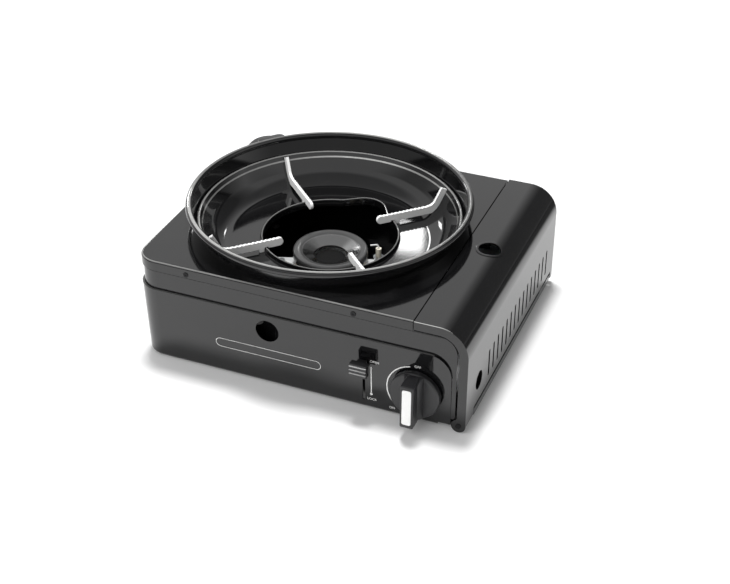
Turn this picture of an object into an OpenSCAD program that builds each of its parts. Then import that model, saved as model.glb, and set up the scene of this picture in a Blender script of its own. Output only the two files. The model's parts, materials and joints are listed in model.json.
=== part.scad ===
// Portable cassette gas stove with a grill bowl, a wind ring and a hinged cartridge cover.
// Millimetres. X runs right to the cartridge cover, Y runs back, Z runs up from the table.

/* [Case] */
// Width across the case and the cartridge cover
case_w = 343; // [335:1:370]
// Depth of the case
case_d = 286; // [280:1:310]
// Height of the top plate above the table
case_h = 113.5; // [110:0.5:122]
// Height of the step where the upper band tucks behind the lower case
step_h = 81.5; // [80:0.5:88]
// Height of the rubber feet, which carry the floor of the case
foot_h = 5.6; // [5:0.2:8]
// Height of the case's turned-in lower rim above the table
rim_low = 1.4; // [1:0.2:3]
// End of that rim, in from the right face
rim_in = 29; // [26:1:34]
// Diameter of a rubber foot
foot_d = 17; // [14:1:22]
// Feet, in from the sides of the case
foot_in_x = 25; // [22:1:32]
// Feet, in from the front and back of the case
foot_in_y = 19; // [18:1:30]
// Corner radius of the case, seen from above
corner_r = 24; // [18:1:36]
// Thickness of the pressed sheet
sheet = 1.2; // [0.9:0.1:1.5]
// How far the lower wall leans in at its foot
wall_lean = 3; // [1:0.5:4]
// Radius along the bottom edge of the case
base_r = 4; // [3:0.5:5]
// Gap between sheets that nest
fit_gap = 0.3; // [0.2:0.05:0.5]
// How far the upper band reaches down behind the lower case
band_lap = 5; // [3:0.5:8]
// Radius of the air holes in the floor
air_hole_r = 5; // [3:0.5:7]
// Circle of the air holes round the burner
air_circle_r = 80; // [76:1:90]

/* [Top plate] */
// Depth of the top plate's skirt
skirt_h = 10.5; // [8:0.5:12]
// Radius along the top plate's edge
edge_r = 2.5; // [2:0.25:4]
// Depth of the turned-down edges along the seam
lip_h = 6; // [4:0.5:7]
// Diameter of a skirt screw's shank
screw_d = 2.8; // [2:0.2:3.4]
// Diameter of a skirt screw's head
screw_head_d = 5.6; // [4.6:0.2:7]
// Thickness of a skirt screw's head
screw_head_h = 0.7; // [0.5:0.1:0.7]
// Front and back skirt screws, left of the middle
screw_left = 113.3; // [90:0.1:130]
// Front and back skirt screws, right of the middle
screw_right = 59.2; // [40:0.1:90]
// Side skirt screws, in front of and behind the middle
screw_side = 80; // [50:1:100]

/* [Cartridge cover] */
// Width of the cover's top, from the seam to the right face
cover_w = 53.7; // [50:0.5:58]
// Radius of the cover's long bend
cover_r = 29; // [24:1:36]
// Width of the flange round the cover's ends
flange_w = 8.6; // [8:0.1:10]
// Slit between the flange and the band
flange_gap = 2.6; // [2:0.1:3]
// Gap along the seam with the top plate
seam_gap = 1.2; // [0.8:0.1:1.6]
// Hinge axis, in from the right face
hinge_in = 7; // [6.5:0.1:7.5]
// Hinge axis, above the underside of the case
hinge_up = 3; // [2.8:0.1:4]
// Diameter of a hinge pin
hinge_pin_d = 3; // [2:0.2:3]
// Thickness of a hinge lug
lug_t = 2.4; // [2:0.2:3]
// Height of the sill below the cover's side
sill_h = 7; // [6:0.5:8]
// Gap between the sill and the cover's side
sill_gap = 3.4; // [2.4:0.2:4]
// Length of the front ear that reaches down to the hinge
ear_front = 26; // [20:1:40]
// Length of the back ear that reaches down to the hinge
ear_back = 9; // [8:1:40]
// Number of vent slots in the cover's side
vent_count = 15; // [9:1:15]
// Distance between vent slots
vent_pitch = 13.7; // [12:0.1:13.7]
// Width of a vent slot
vent_w = 4; // [2:0.5:6]
// Height of a vent slot
vent_h = 30; // [20:1:40]
// Height of the middle of the vent slots above the table
vent_z = 39.4; // [36:0.2:44]
// First vent slot, in front of the middle
vent_front = 77; // [70:1:80]
// Diameter of the round hole in the cover's side
side_hole_d = 19; // [12:1:22]
// Round side hole, in front of the middle
side_hole_front = 107; // [100:1:112]
// Diameter of the finger hole on the bend
finger_hole_d = 22; // [16:1:24]
// Finger hole, behind the middle
finger_hole_back = 2; // [-10:1:10]

/* [Front panel] */
// End of the front panel, in from the right face
panel_in = 15.6; // [15:0.2:18]
// Radius of the panel's upper right corner
panel_corner_r = 22; // [14:1:24]
// Diameter of the round lighting hole
light_hole_d = 24; // [16:1:24]
// Lighting hole, left of the middle
light_hole_left = 29.2; // [10:0.1:60]
// Height of the lighting hole above the table
light_hole_z = 63.7; // [60:0.5:64]

/* [Knob and valve] */
// Knob axis, in from the right face
knob_in = 49; // [46:0.5:52]
// Height of the knob axis above the table
knob_z = 35.7; // [34:0.5:38]
// Diameter of the knob
knob_d = 50; // [44:1:52]
// Thickness of the knob's disc
knob_t = 6; // [4:0.5:8]
// Gap between the front panel's step and the knob
knob_gap = 1; // [0.5:0.1:2]
// Width of the grip bar
grip_w = 13; // [11:0.5:16]
// Length of the grip bar
grip_l = 47; // [40:1:49]
// Height of the grip bar in front of the disc
grip_h = 19; // [14:1:22]
// Depth of the inlaid marker plate
marker_t = 0.8; // [0.6:0.1:1.2]
// Margin of the marker plate inside the grip bar
marker_in = 2; // [1.5:0.5:3]
// Diameter of the valve stem
stem_d = 8; // [6:0.5:9]
// Radial clearance of a running fit
run_gap = 0.05; // [0.03:0.01:0.08]
// Length of the valve block
valve_l = 32; // [28:1:34]
// Bore of the socket for the cartridge's stem
socket_bore = 4.2; // [4.1:0.05:4.5]
// Diameter of the brass socket
socket_d = 23; // [20:1:28]
// Length of the brass socket
socket_l = 6; // [5:0.5:8]

/* [Cartridge bay] */
// Diameter of the cartridge that the bay takes
cart_d = 68; // [66:0.5:70]
// Length of that cartridge from its collar to its base
cart_l = 190; // [180:1:195]
// Cartridge axis, in from the right face
cart_in = 42; // [41:0.5:44]
// Height of the cartridge axis above the table
cart_z = 46; // [45:0.5:48]
// Back of the valve block, behind the front of the case
guide_back = 47; // [44:1:50]
// Gap between the cartridge and the partition wall
wall_gap = 6; // [4:0.5:7]
// Height of the partition wall above the step
wall_up = 8; // [4:1:12]
// Saddles, in front of and behind the middle
saddle_y = 55; // [45:1:62]
// Length of a saddle along the cartridge
saddle_l = 14; // [10:1:20]
// Width of a saddle across the cartridge
saddle_w = 30; // [24:1:34]
// Travel of the pusher that seats the cartridge
push_travel = 7; // [5:0.5:7]
// Diameter of the pusher's pad
pad_d = 36; // [28:1:44]

/* [Lock lever] */
// Lever slit, in from the right face
lever_in = 102; // [100:0.5:110]
// Thickness of the lever
lever_t = 1.6; // [1.2:0.1:2]
// Width of the lever's arms
lever_w = 8; // [6:0.5:9]
// Swing of the lever, in degrees
lever_turn = 35; // [30:1:36]
// Lever pivot, behind the front of the case
pivot_back = 42; // [40:0.5:44]
// Height of the lever pivot above the table
pivot_z = 30; // [29:0.5:31]
// Diameter of the lever's pivot
pivot_d = 5; // [4:0.5:5]
// Diameter of the pin on the lever's crank
crank_pin_d = 4; // [3:0.5:4]
// Clearance of the crank pin in its slot
slot_gap = 0.12; // [0.1:0.01:0.15]
// Side gap between the lever and the slit or rod
side_gap = 0.5; // [0.4:0.05:0.7]
// Height of the lever tab above the table
tab_z = 54; // [52:0.5:55]
// Width of the lever tab
tab_w = 17; // [14:1:20]
// Height of the lever tab
tab_h = 14; // [12:0.5:15]
// Reach of the lever tab in front of the case
tab_reach = 15; // [12:0.5:17]
// Depth of the lever tab's ridged block
tab_block = 8; // [6:0.5:9]
// Width of the lever tab's neck
tab_neck_w = 9; // [7:0.5:11]
// Height of the lever tab's neck
tab_neck_h = 11; // [10:0.5:12]
// Lower end of the slit above the table
slit_low = 10.5; // [10:0.5:12]
// Upper end of the slit above the table
slit_top = 57; // [56:0.5:58]
// Thickness of the pusher rod
rod_t = 2; // [1.5:0.1:2.5]
// Width of the pusher rod
rod_w = 9; // [8:0.5:9]
// Clearance of the pusher rod in its guides
rod_gap = 0.15; // [0.1:0.05:0.3]
// Thickness of the bracket sheet inside the case
bracket_t = 1.5; // [1.2:0.1:2]

/* [Burner] */
// Burner centre, left of the middle
burner_left = 24.8; // [20:0.1:26]
// Height of the burner cap's rim above the table
burner_top = 76.7; // [74:0.5:80]
// Diameter of the burner cap
cap_d = 77; // [72:1:84]
// Height of the burner cap's rim
cap_h = 6.7; // [6:0.1:8]
// Diameter of the hole in the burner cap
cap_hole_d = 34; // [28:1:40]
// Diameter of the burner's cast cup
cup_d = 72; // [66:1:72]
// Depth of the burner's cast cup
cup_h = 18; // [16.5:0.5:20]
// Wall of the burner's cast cup
cup_t = 3; // [2.5:0.5:4]
// Height of the port ring
port_ring_h = 8; // [6:0.5:10]
// Number of flame ports
port_count = 36; // [24:4:48]
// Diameter of a flame port
port_d = 1.8; // [1.2:0.1:2.2]
// Outer diameter of the mixing tube
tube_d = 16; // [14:0.5:16]
// Bore of the mixing tube
tube_bore = 11; // [9:0.5:12]
// End of the mixing tube from the burner's centre
tube_end = 112; // [100:1:114]
// Diameter of the gas pipe
pipe_d = 6; // [5:0.5:7]
// Direction of the burner's ears, in degrees
ear_turn = 20; // [15:1:25]
// Screws of the burner's ears, from the burner's centre
ear_screw_r = 50; // [48:0.5:52]
// Width of a burner ear
ear_w = 14; // [12:1:16]
// Thickness of a burner ear
ear_t = 4; // [3:0.5:5]
// Direction of the igniter, in degrees
igniter_turn = 33; // [32:0.5:36]
// Diameter of the igniter's ceramic
ceramic_d = 6; // [5:0.5:7]
// Diameter of the igniter's pin
spark_pin_d = 1.6; // [1.2:0.1:2]
// Diameter of the igniter's lead
lead_d = 2.4; // [2:0.1:3]

/* [Bowl and wind ring] */
// Outer radius of the wind ring's rim
rim_r = 143.7; // [140:0.1:143.7]
// Height of the wind ring above the top plate
ring_h = 23.5; // [18:0.5:30]
// Outer radius of the wind ring's foot
ring_foot_r = 134; // [133.5:0.1:135]
// Width of the wind ring's foot
ring_foot_w = 3.5; // [3.2:0.1:4]
// Radius of the rolled rim and crest
bead_r = 1.5; // [1.2:0.1:2]
// Radial step between the bowl's crest and the ring's foot
crest_in = 1.3; // [1.2:0.1:2]
// Height of the bowl's crest above the top plate
crest_up = 5.5; // [5:0.5:8]
// Depth of the bowl's floor below the top plate
bowl_drop = 23.6; // [21:0.2:25]
// Radius of the bowl's flat floor
bowl_floor_r = 100; // [96:1:104]
// Radius of the bend between the bowl's floor and its wall
bowl_bend_r = 25; // [20:1:28]
// Radius of the opening round the burner
opening_r = 68; // [67:0.5:70]
// Height of the collar above the floor
collar_up = 4.8; // [4.2:0.2:6]
// Depth of the collar below the floor
collar_down = 2; // [1:0.5:3]
// Radius of the bay in the opening's edge
notch_r = 22; // [18:1:24]
// Centre of the bay inside the opening's edge
notch_in = 7; // [5:0.5:8]
// Direction of the bay in the opening's edge, in degrees
notch_turn = 78; // [72:1:95]
// Direction of the lifting tab, in degrees
lift_turn = 139; // [125:1:145]
// Reach of the lifting tab outside the rim
lift_reach = 8; // [5:0.5:10]
// Width of the lifting tab
lift_w = 30; // [20:1:40]

/* [Pan supports] */
// Thickness of a pan support
arm_t = 3; // [2:0.2:4]
// Depth of a pan support's level part
arm_h = 8.6; // [7:0.1:10]
// Level part above the bowl's floor
arm_up = 3.6; // [2.4:0.1:4.2]
// Inner tip of a pan support from the burner's centre
arm_tip_r = 51; // [46:1:56]
// Width of the strip that climbs the bowl's wall
arm_strip = 6.6; // [5:0.1:8]
// Radius of the upper edge where it starts to climb
arm_knee_round = 9; // [4:1:12]
// Distance between the teeth along a pan support
tooth_pitch = 4.4; // [3.6:0.1:5]
// Depth of the teeth
tooth_h = 0.9; // [0.6:0.1:1.2]
// Width of a pan support's foot
arm_foot_w = 5; // [4:0.5:6]

/* [Hidden] */

$fn = 96;
// How far a cut runs past the face that it opens
over = 1;

black_enamel = "#2a2a2c";
black_plastic = "#1b1b1d";
bright_plate = "#cfcfcd";
grey_cast = "#a9abad";
zinc_plate = "#b9bcbd";
burnt_iron = "#303033";
brass_tone = "#c2a050";
pale_marker = "#ededea";
cream_ceramic = "#ece6d4";
rubber_tone = "#202020";

// Case
half_w = case_w / 2;
half_d = case_d / 2;
floor_z = foot_h + sheet;
round_z = rim_low + base_r;
rim_end = half_w - rim_in;
lean_rate = wall_lean / (step_h - round_z);
flat_in = wall_lean + base_r;
// How far a bent edge runs on level before a flat plate takes over inside it
level_run = 2;
foot_neck_r = foot_d / 6;
foot_head_h = 2.4;

// The band sits inside the lower wall, and the skirt sits outside the band
skirt_in = ceil(100 * lean_rate * panel_corner_r) / 100;
band_in = skirt_in + sheet + fit_gap;
band_top = case_h - edge_r;
band_end = half_w - flange_w - flange_gap;
panel_end = half_w - panel_in;

// Cartridge cover and its hinge
seam_x = half_w - cover_w;
cover_left = seam_x + seam_gap / 2;
plate_end = seam_x - seam_gap / 2;
bend_x = half_w - cover_r;
bend_z = case_h - cover_r;
hinge_x = half_w - hinge_in;
hinge_z = foot_h + hinge_up;
hinge_pin_r = hinge_pin_d / 2;
lug_r = hinge_pin_r + 2.7;
lug_y = half_d - wall_lean - lug_t;
sill_top = foot_h + sill_h;
cover_low = sill_top + sill_gap;
// The sill and the floor stay inside the circle that the cover's lower edge sweeps
sill_x = hinge_x + hinge_in - fit_gap;
floor_end = hinge_x + hinge_in - sheet - 2;
post_low = hinge_z + lug_r + fit_gap;
post_gap = 0.3;
vent_r = vent_w / 2;

// Burner, bowl and wind ring
burner_x = -burner_left;
rim_z = case_h + ring_h;
ring_in_r = ring_foot_r - ring_foot_w;
plate_hole_r = ring_in_r - 0.5;
// Radial lean of the wind ring's wall for each millimetre that it rises
ring_lean = (rim_r - bead_r + sheet / 2 - ring_foot_r) / (ring_h - bead_r);
crest_r = ring_foot_r - crest_in + min(0, ring_lean * crest_up);
crest_c = [crest_r - bead_r, case_h + crest_up - bead_r];
bowl_z = case_h - bowl_drop;
// The bend takes no more than this share of the way from the floor's edge to the crest
bend_share = 0.82;
bowl_bend = min(bowl_bend_r, bend_share * (crest_c[0] - bowl_floor_r));
// The wall touches the bend above the floor on its lower side and the crest on its upper side
bend_c = [bowl_floor_r, bowl_z + bowl_bend];
crest_way = crest_c - bend_c;
wall_turn = atan2(crest_way[1], crest_way[0]) + asin((bowl_bend + bead_r) / norm(crest_way));
wall_way = [cos(wall_turn), sin(wall_turn)];
wall_in = [-sin(wall_turn), cos(wall_turn)];
wall_top = crest_c + bead_r * wall_in;
notch_c = [opening_r - notch_in, 0];
collar_top = bowl_z + collar_up;

// Pan supports: a level part, then a strip that climbs the bowl's wall
arm_low = bowl_z + arm_up;
arm_top = arm_low + arm_h;
arm_round = arm_h / 2;
// Lower edge: along the bend from the heel, then up the wall to the end
arm_bend_r = bowl_bend - fit_gap;
arm_heel_turn = acos((bend_c[1] - arm_low) / arm_bend_r);
arm_end = wall_top + fit_gap * wall_in - wall_way;
// Upper edge: a line along the wall that meets the level part in a round knee
arm_crown = arm_end + arm_strip * wall_in;
arm_knee_r = arm_crown[0] - (arm_crown[1] - arm_top) * wall_way[0] / wall_way[1];
arm_level_end = arm_knee_r - arm_knee_round * tan(wall_turn / 2);
tooth_from = arm_tip_r + arm_round;
tooth_count = floor((arm_level_end - tooth_from) / tooth_pitch);
arm_foot_r = opening_r + sheet + 2;
arm_slot = 1.5;

// Burner stack, from the rim down
ring_top_z = burner_top - cap_h;
cup_top_z = ring_top_z - port_ring_h;
cup_z = cup_top_z - cup_h;
cup_r = cup_d / 2;
tube_r = tube_d / 2;
tube_z = cup_top_z - tube_r - 1;
ear_top_z = cup_top_z - 2;
ear_z = ear_top_z - ear_t;
ear_end = ear_screw_r + ear_w / 2;
ear_screw_d = 3.8;
ear_head_d = 7;
ear_head_h = 2.2;
leg_r = ear_end + 0.5;
igniter_r = ear_screw_r;
igniter_at = [burner_x, 0] + igniter_r * [cos(igniter_turn), sin(igniter_turn)];
ceramic_low = ear_z - 4;
ceramic_top = burner_top - 6;
spark_z = burner_top - 1.5;
clip_from = igniter_turn - ear_turn;

// Cartridge bay, valve and pusher
cart_x = half_w - cart_in;
cart_r = cart_d / 2;
guide_y = -half_d + guide_back;
// Valve block about the cartridge axis: to the left, to the right, down and up
valve_reach_left = 24;
valve_reach_right = 22;
valve_reach_down = 24;
valve_reach_up = 20;
valve_left = cart_x - valve_reach_left;
valve_right = cart_x + valve_reach_right;
valve_low = cart_z - valve_reach_down;
valve_top = cart_z + valve_reach_up;
valve_hole_deep = 8;
socket_end = guide_y + socket_l;
pusher_y = socket_end + cart_l + push_travel;
part_x = cart_x - cart_r - wall_gap;
part_top = step_h + wall_up;
part_half = half_d - flat_in;
part_foot = 8;
saddle_top = cart_z - cart_r;
saddle_lip = 2;

// Gas line: straight from the valve's left face to the burner's centre
gas_in = [valve_left, guide_y - valve_l / 2];
gas_way = gas_in - [burner_x, 0];
gas_turn = atan2(gas_way[1], gas_way[0]);
gas_l = norm(gas_way);
pipe_sunk = 4;
// Gas jet: its tip inside the mixing tube, its neck outside it and its hexagon's length
jet_in = 4;
jet_neck = 2;
jet_grip = 10;
jet_tip = tube_end - jet_in;
jet_back = tube_end + jet_neck;
pipe_from = jet_back + jet_grip;

// Knob and stem
knob_x = half_w - knob_in;
knob_y = -half_d - knob_gap;
stem_r = stem_d / 2;
stem_hole_r = stem_r + 2;
boss_wall = 5;
boss_gap = 3;
boss_r = stem_r + boss_wall;
boss_y = -half_d + wall_lean + sheet + boss_gap;
stem_deep = 14;
grip_front = knob_y - knob_t - grip_h;

// Lever: a bell crank whose upright arm swings evenly about the vertical
lever_x = half_w - lever_in;
pivot_y = -half_d + pivot_back;
pivot_r = pivot_d / 2;
hub_r = pivot_r + 2.2;
crank_r = push_travel / (2 * sin(lever_turn / 2));
crank_turn = 90 - lever_turn / 2;
crank_at = [pivot_y, pivot_z] + crank_r * [cos(crank_turn), sin(crank_turn)];
crank_pin_r = crank_pin_d / 2;
tab_gap = 1.2;
tab_back = -half_d - tab_gap;
tab_front = -half_d - tab_reach;
tab_at = [(tab_front + tab_back) / 2, tab_z];
arm_way = tab_at - [pivot_y, pivot_z];
arm_turn = atan2(arm_way[1], arm_way[0]);
arm_l = norm(arm_way);
rod_x = lever_x + lever_t / 2 + side_gap;
rod_z = pivot_z + crank_r * (1 + sin(crank_turn)) / 2;
rod_front = crank_at[0] - crank_pin_r - 4;
rod_top = rod_z + rod_w / 2;
cheek_left = lever_x - lever_t / 2 - 4;
cheek_right = rod_x + rod_t + 2.5;
cheek_end = cheek_right + bracket_t;
cheek_half = hub_r + 1;
// Rod guides: behind the valve block, in front of the pusher, and their sheet
rod_guide_front = 51;
rod_guide_back = 37;
rod_guide_t = 2;
rod_guide_rim = 5;
guide_low_y = guide_y + rod_guide_front;
guide_high_y = pusher_y - rod_guide_back;
// Cartridge guide: left of the cartridge axis, across, above the cartridge, and its foot
guide_left = 26;
guide_w = 58;
guide_rise = 4;
guide_foot = 10;
guide_key_w = 3;
// Guide screws, out from the socket and above its axis
guide_screw_out = 5;
guide_screw_up = 4;

// Heat panel
panel_x = burner_x + leg_r + 6.8;
panel_half = 18;
panel_y = -14;
panel_top = bowl_z - sheet - collar_down - 2.9;
panel_reach = cart_x + saddle_w / 2 + 6;

// Igniter lead, from the piezo unit through the wall to the ceramic's foot
piezo_size = [14, 28, 14];
piezo_at = [cart_x, guide_y - valve_l + 2, valve_top];
lead_z = valve_top + piezo_size[2] / 2;
lead_y = piezo_at[1] + piezo_size[1] / 2;
lead_low = ceramic_low - 6;
lead_points = [[piezo_at[0], lead_y, lead_z], [part_x - 6, lead_y, lead_z],
    [59.5, -66, lead_z - 2], [57.5, 10, 62], [37.5, 38, lead_low],
    [igniter_at[0], igniter_at[1], lead_low], [igniter_at[0], igniter_at[1], ceramic_low]];

// The origin is under the middle of the whole stove, knob and rim included
left_reach = max(half_w, rim_r + burner_left);
back_reach = max(half_d, rim_r);
origin_shift = [(left_reach - half_w) / 2, (-grip_front - back_reach) / 2, 0];

module placed() {
    translate(origin_shift)
        children();
}

// Extrude a section drawn in y and z along x
module along_x(length) {
    rotate([90, 0, 90])
        linear_extrude(length)
            children();
}

// Extrude a section drawn in x and z along y, about the middle
module along_y(length) {
    rotate([90, 0, 0])
        linear_extrude(length, center = true)
            children();
}

// A cylinder along y, from y0 to y1, at a place in x and z
module bar_y(x, z, r, y0, y1) {
    translate([x, y1, z])
        rotate([90, 0, 0])
            cylinder(r = r, h = y1 - y0);
}

// A cylinder along x, from x0 to x1, at a place in y and z
module bar_x(y, z, r, x0, x1) {
    translate([x0, y, z])
        rotate([0, 90, 0])
            cylinder(r = r, h = x1 - x0);
}

// A piece and its mirror image across the middle of the depth
module front_and_back() {
    for (side = [0, 1])
        mirror([0, side, 0])
            children();
}

// Move to the burner's centre and turn about it
module at_burner(turn = 0) {
    translate([burner_x, 0, 0])
        rotate([0, 0, turn])
            children();
}

// Sweep a wall section along the back, round the left corners and along the front.
// The section's x is measured outwards from the case's outline, and its y is height.
module swept_wall(end_x) {
    run = end_x + half_w - corner_r;
    front_and_back() {
        translate([-half_w + corner_r, half_d, 0])
            along_x(run)
                children();
        translate([-half_w + corner_r, half_d - corner_r, 0])
            rotate([0, 0, 90])
                rotate_extrude(angle = 90)
                    translate([corner_r, 0])
                        children();
    }
    translate([-half_w, 0, 0])
        mirror([1, 0, 0])
            along_y(case_d - 2 * corner_r)
                children();
}

// Plan of the case, set in from its outline, with round left corners
module case_plan(inset, end_x) {
    translate([-half_w + corner_r, -half_d + inset])
        square([end_x + half_w - corner_r, case_d - 2 * inset]);
    translate([-half_w + inset, -half_d + corner_r])
        square([corner_r, case_d - 2 * corner_r]);
    for (side = [-1, 1])
        translate([-half_w + corner_r, side * (half_d - corner_r)])
            circle(corner_r - inset);
}

// Quarter of a bent sheet, convex outwards and up, that runs on level inwards
module bent_edge(r) {
    intersection() {
        difference() {
            circle(r);
            circle(r - sheet);
        }
        square(r);
    }
    translate([-level_run, r - sheet])
        square([level_run, sheet]);
}

module lower_wall_section() {
    lip_in = band_in - fit_gap;
    polygon([[0, step_h], [-lip_in, step_h], [-lip_in, step_h - sheet], [-sheet, step_h - sheet],
        [-wall_lean - sheet, round_z], [-wall_lean, round_z]]);
    translate([-flat_in, round_z])
        mirror([0, 1])
            bent_edge(base_r);
}

// Front view of what the right end of the lower walls leaves open
module panel_end_section() {
    corner = [panel_end - panel_corner_r, step_h - panel_corner_r];
    translate([panel_end, round_z])
        square([panel_in + over, step_h]);
    difference() {
        translate(corner)
            square(panel_corner_r + over);
        translate(corner)
            circle(panel_corner_r);
    }
}

module hinge_lug() {
    bar_y(hinge_x, hinge_z, lug_r, lug_y, lug_y + lug_t);
    translate([hinge_x - lug_r, lug_y, foot_h + sheet / 2])
        cube([2 * lug_r, lug_t, hinge_up - sheet / 2]);
}

module lower_case() {
    color(black_enamel)
        placed()
            difference() {
                union() {
                    difference() {
                        swept_wall(floor_end)
                            lower_wall_section();
                        along_y(case_d + 2 * over)
                            panel_end_section();
                        translate([rim_end, -half_d - over, rim_low - over])
                            cube([rim_in, case_d + 2 * over, foot_h - rim_low + over]);
                    }
                    translate([0, 0, foot_h])
                        linear_extrude(sheet)
                            case_plan(wall_lean + sheet / 2, floor_end);
                    translate([floor_end - over, -half_d + ear_front, foot_h])
                        cube([sill_x - floor_end + over, case_d - ear_front - ear_back, sheet]);
                    translate([sill_x - sheet, -half_d + ear_front, foot_h])
                        cube([sheet, case_d - ear_front - ear_back, sill_h]);
                    front_and_back()
                        hinge_lug();
                }
                bar_y(-light_hole_left, light_hole_z, light_hole_d / 2, -half_d - over, -half_d + flat_in);
                bar_y(knob_x, knob_z, stem_hole_r, -half_d - over, -half_d + flat_in);
                translate([lever_x - lever_t / 2 - side_gap, -half_d - over, slit_low])
                    cube([lever_t + 2 * side_gap, flat_in + over, slit_top - slit_low]);
                bar_y(hinge_x, hinge_z, hinge_pin_r + run_gap, -half_d, half_d);
                foot_places()
                    translate([0, 0, foot_h - over])
                        cylinder(r = foot_neck_r + fit_gap / 2, h = sheet + 2 * over);
                for (turn = [45 : 45 : 315])
                    at_burner(turn)
                        translate([air_circle_r, 0, foot_h - over])
                            cylinder(r = air_hole_r, h = sheet + 2 * over);
            }
}

module foot_places() {
    for (x = [-half_w + foot_in_x, half_w - foot_in_x], y = [-half_d + foot_in_y, half_d - foot_in_y])
        translate([x, y, 0])
            children();
}

module rubber_feet() {
    color(rubber_tone)
        placed()
            foot_places() {
                cylinder(r1 = foot_d / 2 - 1, r2 = foot_d / 2, h = foot_h);
                cylinder(r = foot_neck_r, h = floor_z + foot_head_h);
                translate([0, 0, floor_z])
                    cylinder(r1 = foot_neck_r + 1.6, r2 = foot_neck_r, h = foot_head_h);
            }
}

module band_section() {
    translate([-band_in - sheet, step_h - band_lap])
        square([sheet, band_top - step_h + band_lap]);
}

// Front view of the band's right end: behind the panel's corner, and down as a post
module band_end_section() {
    behind = panel_end - panel_corner_r - band_lap;
    translate([behind, step_h - panel_corner_r])
        square([band_end - behind, band_top - step_h + panel_corner_r]);
    translate([panel_end + post_gap, post_low])
        square([band_end - panel_end - post_gap, step_h - post_low]);
}

// Front view of what the cover's flange takes from the band's upper right corner
module band_corner_section() {
    reach = flange_w + flange_gap;
    translate([seam_x, case_h - reach])
        square([cover_w, reach]);
    difference() {
        translate([bend_x, bend_z])
            square(cover_r + over);
        translate([bend_x, bend_z])
            circle(cover_r - reach);
    }
}

// Carry a part to each skirt screw, with its z pointing out of the wall
module screw_places() {
    z = case_h - skirt_h * 0.68;
    front_and_back()
        for (x = [-screw_left, screw_right])
            translate([x, -half_d + skirt_in, z])
                rotate([90, 0, 0])
                    children();
    for (y = [-screw_side, screw_side])
        translate([-half_w + skirt_in, y, z])
            rotate([0, -90, 0])
                children();
}

module screw_holes() {
    screw_places()
        translate([0, 0, -band_in - 2 * sheet])
            cylinder(r = screw_d / 2 + run_gap, h = band_in + 2 * sheet + over);
}

module upper_frame() {
    color(black_enamel)
        placed()
            difference() {
                union() {
                    swept_wall(band_end)
                        band_section();
                    front_and_back()
                        translate([0, half_d - band_in - sheet / 2, 0])
                            along_y(sheet)
                                band_end_section();
                }
                along_y(case_d)
                    band_corner_section();
                screw_holes();
            }
}

module skirt_section() {
    translate([-skirt_in - sheet, case_h - skirt_h])
        square([sheet, skirt_h - edge_r]);
    translate([-skirt_in - edge_r, case_h - edge_r])
        bent_edge(edge_r);
}

module top_plate() {
    lip_half = half_d - band_in - sheet - fit_gap;
    color(black_enamel)
        placed()
            difference() {
                union() {
                    swept_wall(plate_end)
                        skirt_section();
                    translate([0, 0, case_h - sheet])
                        linear_extrude(sheet)
                            case_plan(skirt_in + edge_r + level_run / 2, plate_end);
                    translate([plate_end - sheet, -lip_half, case_h - lip_h])
                        cube([sheet, 2 * lip_half, lip_h]);
                }
                at_burner()
                    translate([0, 0, case_h - sheet - over])
                        cylinder(r = plate_hole_r, h = sheet + 2 * over);
                screw_holes();
            }
}

module plate_screws() {
    color(zinc_plate)
        placed()
            screw_places() {
                cylinder(r1 = screw_head_d / 2, r2 = screw_head_d / 2 - 0.4, h = screw_head_h);
                translate([0, 0, -band_in - sheet])
                    cylinder(r = screw_d / 2, h = band_in + sheet + screw_head_h / 2);
            }
}

// Front view of the space under the cover's skin, set in from its outside
module cover_form(inset, low, past = 0) {
    left = cover_left - past;
    base = low - past;
    translate([left, base])
        square([bend_x - left, case_h - inset - base]);
    translate([bend_x - over, base])
        square([cover_r - inset + over, bend_z - base]);
    translate([bend_x, bend_z])
        intersection() {
            circle(cover_r - inset);
            square(cover_r);
        }
}

module cover_strip(width, low) {
    difference() {
        cover_form(0, low);
        cover_form(width, low, over);
    }
}

module cover_ear(length) {
    translate([half_w - sheet, 0, hinge_z])
        cube([sheet, length, cover_low - hinge_z + over]);
}

// A vertical slot with round ends, cut along x through the cover's side
module vent_slot() {
    along_x(2 * over + sheet) {
        square([vent_w, vent_h - vent_w], center = true);
        for (side = [-1, 1])
            translate([0, side * (vent_h / 2 - vent_r)])
                circle(vent_r);
    }
}

module cartridge_cover() {
    color(black_enamel)
        placed()
            difference() {
                union() {
                    along_y(case_d)
                        cover_strip(sheet, cover_low);
                    front_and_back()
                        translate([0, half_d - sheet / 2, 0])
                            along_y(sheet) {
                                cover_strip(flange_w, hinge_z);
                                translate([hinge_x, hinge_z])
                                    circle(hinge_in);
                            }
                    translate([0, -half_d, 0])
                        cover_ear(ear_front - 2);
                    translate([0, half_d - ear_back + 2, 0])
                        cover_ear(ear_back - 2);
                    translate([cover_left, -half_d, case_h - lip_h])
                        cube([sheet, case_d, lip_h]);
                }
                for (i = [0 : vent_count - 1])
                    translate([half_w - sheet - over, -vent_front + i * vent_pitch, vent_z])
                        vent_slot();
                bar_x(-side_hole_front, vent_z, side_hole_d / 2, half_w - sheet - over, half_w + over);
                translate([bend_x, finger_hole_back, bend_z])
                    cylinder(r = finger_hole_d / 2, h = cover_r + over);
                bar_y(hinge_x, hinge_z, hinge_pin_r + run_gap, -half_d - over, half_d + over);
            }
}

module hinge_pins() {
    head_h = 0.6;
    inner = lug_y - 0.6;
    outer = half_d + run_gap;
    color(zinc_plate)
        placed()
            front_and_back() {
                bar_y(hinge_x, hinge_z, hinge_pin_r, inner, outer + head_h);
                bar_y(hinge_x, hinge_z, hinge_pin_r + 1.1, outer, outer + head_h);
            }
}

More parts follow.
